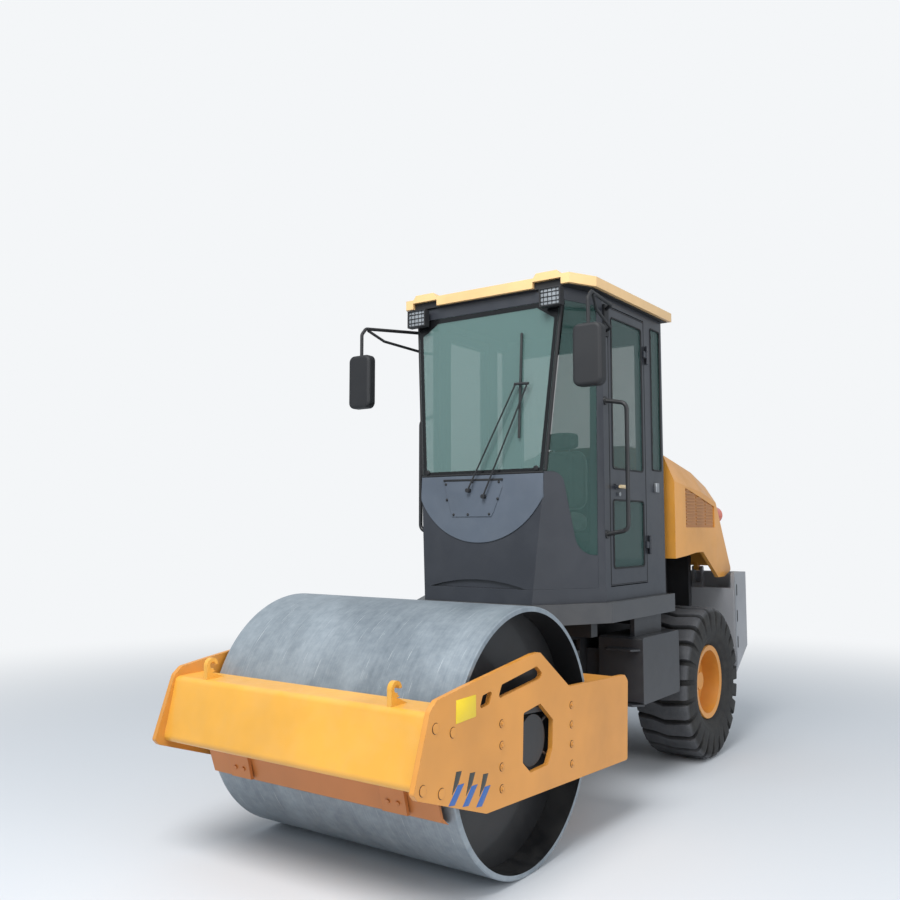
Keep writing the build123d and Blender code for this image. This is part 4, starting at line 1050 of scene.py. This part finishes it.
leafBack = door["back"] - door["margin"]
leafFront = door["front"] + door["margin"]
for name, side in (("left", 1), ("right", -1)):
    beads = [
        windowBead(door["back"], door["front"], *door[w], cab["wall"] + 0.0005) for w in ("upper", "lower")
    ]
    piece("doorSeal_" + name, mirroredIn(joined(beads), side), sealRubber, "door_panel_" + name)
    leaf = roundedOutline(
        [
            (leafBack, door["foot"]),
            (leafFront, door["foot"]),
            (leafFront, door["head"]),
            (leafBack, door["head"]),
        ],
        0.006,
        3,
    )
    rim = tube(
        np.stack([leaf[:, 0], np.full(len(leaf), cab["wall"] - 0.0005), leaf[:, 1]], 1),
        0.0028,
        8,
        wrap=True,
    )
    piece("doorLip_" + name, mirroredIn(rim, side), sealRubber, "door_panel_" + name)
    gripX = leafFront - 0.105
    grip = tube(
        [
            (gripX - 0.064, door["gripOut"], door["gripHeight"]),
            (gripX - 0.02, door["gripOut"], door["gripHeight"]),
            (gripX + 0.044, door["gripOut"], door["gripHeight"]),
        ],
        [0.0105, 0.0115, 0.0105],
    )
    piece("doorGrip_" + name, mirroredIn(grip, side), gripPlastic, "door_panel_" + name)
    lock = lathe(
        [(0.0003, 0), (0.013, 0), (0.013, 0.003), (0.0118, 0.004), (0.0003, 0.004)],
        (gripX - 0.01, door["lockOut"], door["lockHeight"]),
        (0, 1, 0),
        28,
    )
    piece("doorLock_" + name, mirroredIn(lock, side), zincPlate, "door_panel_" + name)
    pane = windowBead(
        quarter["back"],
        quarter["front"],
        quarter["low"],
        quarter["high"] - 0.004,
        cab["wall"] + 0.0005,
        0.012,
    )
    latch = roundedBar((-0.622, 0.628, 1.862), (-0.574, 0.652, 1.924), 0.006, 0.003)
    piece("quarterSeal_" + name, mirroredIn(pane, side), sealRubber, "rear_frame")
    piece("latchBox_" + name, mirroredIn(latch, side), zincPlate, "rear_frame")

lampBox = {"face": 0.5605, "across": 0.489, "half": 0.061, "low": 2.925, "high": 3.018}
lens = roundedOutline(
    [
        (lampBox["across"] - lampBox["half"], lampBox["low"]),
        (lampBox["across"] + lampBox["half"], lampBox["low"]),
        (lampBox["across"] + lampBox["half"], lampBox["high"]),
        (lampBox["across"] - lampBox["half"], lampBox["high"]),
    ],
    0.008,
)
piece(
    "lampLenses",
    bothSides(plate(lens, alongX, lampBox["face"] - 0.0103, lampBox["face"] - 0.0062, 0.001)),
    lensGlass,
    "rear_frame",
)
lampScrews = [(0.53, 0.489 + o, 3.0262) for o in (-0.045, 0.045)]
piece(
    "lampScrews",
    bothSides(boltHeads(lampScrews, (0, 0, 1), 0.007, 0.005, 0.002)),
    zincPlate,
    "rear_frame",
)

mirrorGlass = roundedOutline([(0.741, 2.411), (0.889, 2.411), (0.889, 2.724), (0.741, 2.724)], 0.03)
piece(
    "mirrorGlass",
    bothSides(plate(mirrorGlass, alongX, 0.6882, 0.6858, 0.0008)),
    mirrorSilver,
    "rear_frame",
)

coverScrews = [
    (-0.246, 1.895),
    (-0.05, 1.905),
    (0.14, 1.900),
    (0.134, 1.80),
    (0.078, 1.71),
    (-0.075, 1.708),
    (-0.18, 1.708),
    (-0.235, 1.80),
]
coverScrews = [(frontFace(z) + 0.0098, y, z) for y, z in coverScrews]
piece("coverScrews", boltHeads(coverScrews, (1, 0, 0.065), 0.0062, 0.004, 0.002), blackEnamel, "rear_frame")
strip = roundedOutline([(-0.266, 1.912), (0.166, 1.908), (0.166, 1.921), (-0.266, 1.925)], 0.004)
piece("coverStrip", plate(strip, onFront, 0.0058, 0.0125, 0.002), sealRubber, "rear_frame")
studs = [(frontFace(1.972) - 0.004, y, 1.972) for y in (-0.40, 0.385)]
piece(
    "screenStuds",
    joined(
        [
            lathe([(0.0003, 0), (0.017, 0), (0.017, 0.006), (0.012, 0.011), (0.0003, 0.012)], c, (1, 0, 0), 24)
            for c in studs
        ]
    ),
    sealRubber,
    "rear_frame"
)
print("cab details made")


# Drum frame: a dark ring round each bolt head on the cheeks, and the bolts' own six sides
bolts = {
    "small": [(0.307, 0.757 - 0.094 * i) for i in range(4)] + [
        (-0.350, 0.737 - 0.096 * i) for i in range(4)
    ],
    "large": [(0.804, 0.822), (0.682, 0.785), (0.889, 0.597), (0.764, 0.558)],
    "smallRadius": 0.017,
    "largeRadius": 0.021,
    "face": 0.813,
}


def boltRings():
    turn = np.linspace(0, 2 * math.pi, 28, endpoint=False)
    rings = []
    for size in ("small", "large"):
        radius = bolts[size + "Radius"] + 0.0006
        for x, z in bolts[size]:
            circle = np.stack(
                [
                    dx + x + radius * np.cos(turn),
                    np.full(28, bolts["face"] + 0.0004),
                    z + radius * np.sin(turn),
                ],
                1,
            )
            rings.append(tube(circle, 0.0016, 6, wrap=True))
    return joined(rings)


piece("boltRings", bothSides(boltRings()), sealRubber, "drum_frame")
sockets = [(dx + x, bolts["face"] + 0.0038, z) for x, z in bolts["small"]]
piece(
    "boltSockets",
    bothSides(boltHeads(sockets, (0, 1, 0), 0.009, 0.0035, 0.0006)),
    shadedOrangeEnamel,
    "drum_frame",
)
print("bolts made")


# Rear: light strips and slots on the bumper's cheeks
bumper = {
    "front": dx - 3.275,
    "side": 0.690,
    "stripBack": 0.022,
    "stripFront": 0.004,
    "strip": (0.56, 1.262),
    "slotBack": 0.060,
    "slotFront": 0.040,
    "slotHigh": 0.09,
    "slots": (0.70, 0.90, 1.10),
}
strips, slots = [], []
stripEnds = (bumper["front"] - bumper["stripFront"], bumper["front"] - bumper["stripBack"])
slotEnds = (bumper["front"] - bumper["slotFront"], bumper["front"] - bumper["slotBack"])


# Four corners of an upright box between two places along the machine
def uprightBox(ends, low, high):
    return [(ends[0], low), (ends[1], low), (ends[1], high), (ends[0], high)]


edgeLine = roundedOutline(uprightBox(stripEnds, *bumper["strip"]), 0.004, 4)
strips.append(plate(edgeLine, alongY, bumper["side"] - 0.001, bumper["side"] + 0.003, 0.001))
for low in bumper["slots"]:
    slot = roundedOutline(uprightBox(slotEnds, low, low + bumper["slotHigh"]), 0.009, 6)
    slots.append(plate(slot, alongY, bumper["side"] - 0.001, bumper["side"] + 0.0008, 0.0003))
piece("bumperStrips", bothSides(joined(strips)), zincPlate, "rear_frame")
piece("bumperSlots", bothSides(joined(slots)), sealRubber, "rear_frame")
print("rear details made")


# Seat: cushion and back as upholstered pads, blown up by cloth pressure
def seatCloth():
    material, tree = newMaterial("seatCloth")
    place = addNode(tree, "ShaderNodeTexCoord").outputs["Object"]
    turned = addNode(tree, "ShaderNodeMapping", {}, {"Vector": place})
    turned.inputs["Rotation"].default_value = (0.6, 0.6, 0.5)
    weave = addNode(
        tree,
        "ShaderNodeTexWave",
        {"Scale": perMetre(14), "Distortion": 0.6, "Detail": 2.0},
        {"Vector": turned.outputs[0]},
    )
    cloud = addNode(
        tree,
        "ShaderNodeTexNoise",
        {"Scale": perMetre(120), "Detail": 5.0, "Roughness": 0.6},
        {"Vector": place},
    )
    tint = ramp(tree, cloud.outputs["Fac"], 0.3, 0.72, linear("#55655F"), linear("#76877F"))
    tint = blendColours(
        tree,
        0.25,
        tint,
        ramp(tree, weave.outputs["Fac"], 0.3, 0.7, linear("#42504B"), linear("#8B9A93")),
    )
    bump = addNode(
        tree,
        "ShaderNodeBump",
        {"Strength": 0.3, "Distance": 0.0008},
        {"Height": weave.outputs["Fac"]},
    )
    shader = addNode(
        tree,
        "ShaderNodeBsdfPrincipled",
        {"Roughness": 0.82, "Sheen Weight": 0.3},
        {"Base Color": tint, "Normal": bump.outputs[0]},
    )
    addNode(tree, "ShaderNodeOutputMaterial", links={"Surface": shader.outputs[0]})
    return material


seat = {
    "pads": {
        "seatCushion": ((-0.267, 0, 1.662), (0.228, 0.232, 0.062), (0, 0, -1)),
        "seatBack": ((-0.4555, 0, 1.955), (0.046, 0.208, 0.203), (-1, 0, 0)),
        "headRest": ((-0.462, 0, 2.228), (0.040, 0.130, 0.056), (-1, 0, 0)),
    },
    "voxel": 0.006,
    "pressure": 4.0,
    "frames": 20,
    "cap": 0.012,
    "square": 0.42,
    "channel": 0.009,
    "channelWide": 0.014,
}


# Signed powers of sine and cosine: a ball pressed towards a box, its sides drawn in between the corners
def pressedBall(half, square, rows=44, cols=88):
    up = np.linspace(-math.pi / 2, math.pi / 2, rows)[1:-1, None]
    turn = np.linspace(0, 2 * math.pi, cols, endpoint=False)[None]

    def power(value):
        return np.sign(value) * np.abs(value) ** square

    x = power(np.cos(up)) * power(np.cos(turn))
    y = power(np.cos(up)) * power(np.sin(turn))
    z = power(np.sin(up)) * np.ones_like(turn)
    ball = np.stack([x, y, z], -1)
    pull = 1 - 0.035 * (1 - x ** 2) * (np.abs(y) > 0.6) - 0.035 * (1 - y ** 2) * (np.abs(x) > 0.6)
    ball[..., :2] *= pull[..., None]
    return skin(ball * np.array(half))


clothStuff = seatCloth()


def upholster(name, centre, half, back):
    verts, faces = pressedBall(half, seat["square"])
    pad = piece(name, (verts + np.array(centre), faces), clothStuff, "rear_frame", angle=180)
    scene = bpy.context.scene
    remesh = pad.modifiers.new("remesh", "REMESH")
    remesh.mode = "VOXEL"
    remesh.voxel_size = seat["voxel"]
    applied(pad)
    count = len(pad.data.vertices)
    before = np.empty(count * 3)
    pad.data.vertices.foreach_get("co", before)
    before = before.reshape(-1, 3)
    away = (before - np.array(centre)) @ np.array(back, float)
    reach = np.abs(np.array(half) @ np.array(back, float))
    held = pad.vertex_groups.new(name="held")
    held.add(np.nonzero(away > reach * 0.8)[0].tolist(), 1.0, "REPLACE")
    cloth = pad.modifiers.new("cloth", "CLOTH")
    cloth.settings.use_pressure = True
    cloth.settings.uniform_pressure_force = seat["pressure"]
    cloth.settings.effector_weights.gravity = 0
    cloth.settings.vertex_group_mass = "held"
    cloth.settings.quality = 5
    for step in range(1, seat["frames"] + 1):
        scene.frame_set(step)
    applied(pad)
    scene.frame_set(1)
    after = np.empty(count * 3)
    pad.data.vertices.foreach_get("co", after)
    move = after.reshape(-1, 3) - before
    size = np.linalg.norm(move, axis=1, keepdims=True)
    move *= np.minimum(1, seat["cap"] / np.maximum(size, 1e-9))
    pad.data.vertices.foreach_set("co", (before + move).ravel())
    sewn(pad, np.array(centre), np.array(half), np.array(back, float))
    smooth = pad.modifiers.new("smooth", "SUBSURF")
    smooth.levels = smooth.render_levels = 1
    pad.data.shade_smooth()
    return pad


def applied(obj):
    graph = bpy.context.evaluated_depsgraph_get()
    mesh = bpy.data.meshes.new_from_object(obj.evaluated_get(graph))
    obj.modifiers.clear()
    mesh.materials.clear()
    mesh.materials.append(clothStuff)
    obj.data = mesh


# Two sewn channels: points near a seam sink by a bell curve of their distance from it
def sewn(pad, centre, half, back):
    count = len(pad.data.vertices)
    spot = np.empty(count * 3)
    pad.data.vertices.foreach_get("co", spot)
    spot = spot.reshape(-1, 3)
    front = (spot - centre) @ -back
    depth = abs(half @ back)
    facing = np.clip(front / depth, 0, 1) ** 0.5
    seams = np.exp(-((np.abs(spot[:, 1]) - half[1] * 0.52) / seat["channelWide"]) ** 2)
    sink = seams * facing * seat["channel"]
    spot += back * sink[:, None]
    pad.data.vertices.foreach_set("co", spot.ravel())
    pad.data.update()


pads = [upholster(name, *facts) for name, facts in seat["pads"].items()]
for pad in pads:
    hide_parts("seat_cushions")
loop = roundedOutline([(-0.205, 1.757), (0.205, 1.757), (0.205, 2.148), (-0.205, 2.148)], 0.07, 8)
piping = tube(np.stack([np.full(len(loop), -0.437), loop[:, 0], loop[:, 1]], 1), 0.005, 8, wrap=True)
piece("seatPiping", piping, plain("pipingVinyl", "#8E9A93", 0.5, grain=3.0), "rear_frame")
posts = [tube([(-0.470, y, 2.10), (-0.470, y, 2.15), (-0.470, y, 2.20)], 0.006) for y in (-0.06, 0.06)]
piece("headRestPosts", joined(posts), zincPlate, "rear_frame")
print("seat made")


# Floor, light and camera
def paleFloor():
    material, tree = newMaterial("paleFloor")
    shader = addNode(tree, "ShaderNodeBsdfDiffuse", {"Color": linear("#D3D6DA")})
    glow = addNode(tree, "ShaderNodeEmission", {"Color": linear(light["backdrop"]), "Strength": 1.0})
    place = addNode(tree, "ShaderNodeNewGeometry").outputs["Position"]
    distance = addNode(tree, "ShaderNodeVectorMath", {"operation": "LENGTH"}, {0: place})
    faded = addNode(
        tree,
        "ShaderNodeMapRange",
        {"interpolation_type": "SMOOTHSTEP", "From Min": 3.0, "From Max": 9.5},
        {"Value": distance.outputs["Value"]},
    )
    rays = addNode(tree, "ShaderNodeLightPath")
    seen = addNode(
        tree,
        "ShaderNodeMath",
        {"operation": "MULTIPLY"},
        {0: faded.outputs[0], 1: rays.outputs["Is Camera Ray"]},
    )
    mix = addNode(
        tree,
        "ShaderNodeMixShader",
        links={0: seen.outputs[0], 1: shader.outputs[0], 2: glow.outputs[0]},
    )
    addNode(tree, "ShaderNodeOutputMaterial", links={"Surface": mix.outputs[0]})
    half = 40.0
    points = np.array([[[-half, -half, 0], [half, -half, 0]], [[-half, half, 0], [half, half, 0]]], float)
    verts, faces = sheetGrid(points)
    mesh = bpy.data.meshes.new("floor")
    mesh.from_pydata((verts - np.array([0, 0, 0.0005])).tolist(), [], faces)
    floor = bpy.data.objects.new("floor", mesh)
    bpy.context.scene.collection.objects.link(floor)
    mesh.materials.append(material)


light = {
    "keyPlace": (6.0, 1.2, 8.0),
    "keySize": 4.5,
    "keyPower": 720.0,
    "fillPlace": (2.0, 8.5, 4.0),
    "fillSize": 6.0,
    "fillPower": 230.0,
    "skyStrength": 0.66,
    "backdrop": "#F4F6F8",
    "skyColour": "#E6EEF5",
}


def areaLamp(name, place, target, size, power):
    lamp = bpy.data.lights.new(name, "AREA")
    lamp.shape = "DISK"
    lamp.size = size
    lamp.energy = power
    obj = bpy.data.objects.new(name, lamp)
    bpy.context.scene.collection.objects.link(obj)
    obj.location = place
    obj.rotation_mode = "QUATERNION"
    obj.rotation_quaternion = (Vector(target) - Vector(place)).to_track_quat("-Z", "Y")


def studioSky():
    world = bpy.data.worlds.new("studioSky")
    bpy.context.scene.world = world
    world.use_nodes = True
    tree = world.node_tree
    tree.nodes.clear()
    rays = addNode(tree, "ShaderNodeLightPath")
    seen = addNode(
        tree,
        "ShaderNodeMath",
        {"operation": "MAXIMUM"},
        {0: rays.outputs["Is Camera Ray"], 1: rays.outputs["Is Transmission Ray"]},
    )
    soft = addNode(
        tree,
        "ShaderNodeBackground",
        {"Color": linear(light["skyColour"]), "Strength": light["skyStrength"]},
    )
    white = addNode(tree, "ShaderNodeBackground", {"Color": linear(light["backdrop"]), "Strength": 1.0})
    mix = addNode(
        tree,
        "ShaderNodeMixShader",
        links={0: seen.outputs[0], 1: soft.outputs[0], 2: white.outputs[0]},
    )
    addNode(tree, "ShaderNodeOutputWorld", links={"Surface": mix.outputs[0]})


view = {"place": (5.1121, 3.0323, 1.6265), "yaw": 35.549, "pitch": -4.921, "lens": 36.304, "sensor": 36.0}


def photoCamera():
    camera = bpy.data.cameras.new("camera")
    camera.sensor_width = view["sensor"]
    camera.lens = view["lens"]
    camera.clip_start = 0.05
    camera.clip_end = 200
    obj = bpy.data.objects.new("camera", camera)
    bpy.context.scene.collection.objects.link(obj)
    yaw = math.radians(view["yaw"])
    pitch = math.radians(view["pitch"])
    back = Vector((math.cos(yaw) * math.cos(pitch), math.sin(yaw) * math.cos(pitch), math.sin(pitch)))
    obj.location = view["place"]
    obj.rotation_mode = "QUATERNION"
    obj.rotation_quaternion = (-back).to_track_quat("-Z", "Y")
    bpy.context.scene.camera = obj


paleFloor()
areaLamp("key", light["keyPlace"], (0.6, 0, 1.2), light["keySize"], light["keyPower"])
areaLamp("fill", light["fillPlace"], (0.3, 0, 1.2), light["fillSize"], light["fillPower"])
studioSky()
photoCamera()
bpy.context.scene.view_settings.view_transform = "Standard"
print("floor, light and camera set")
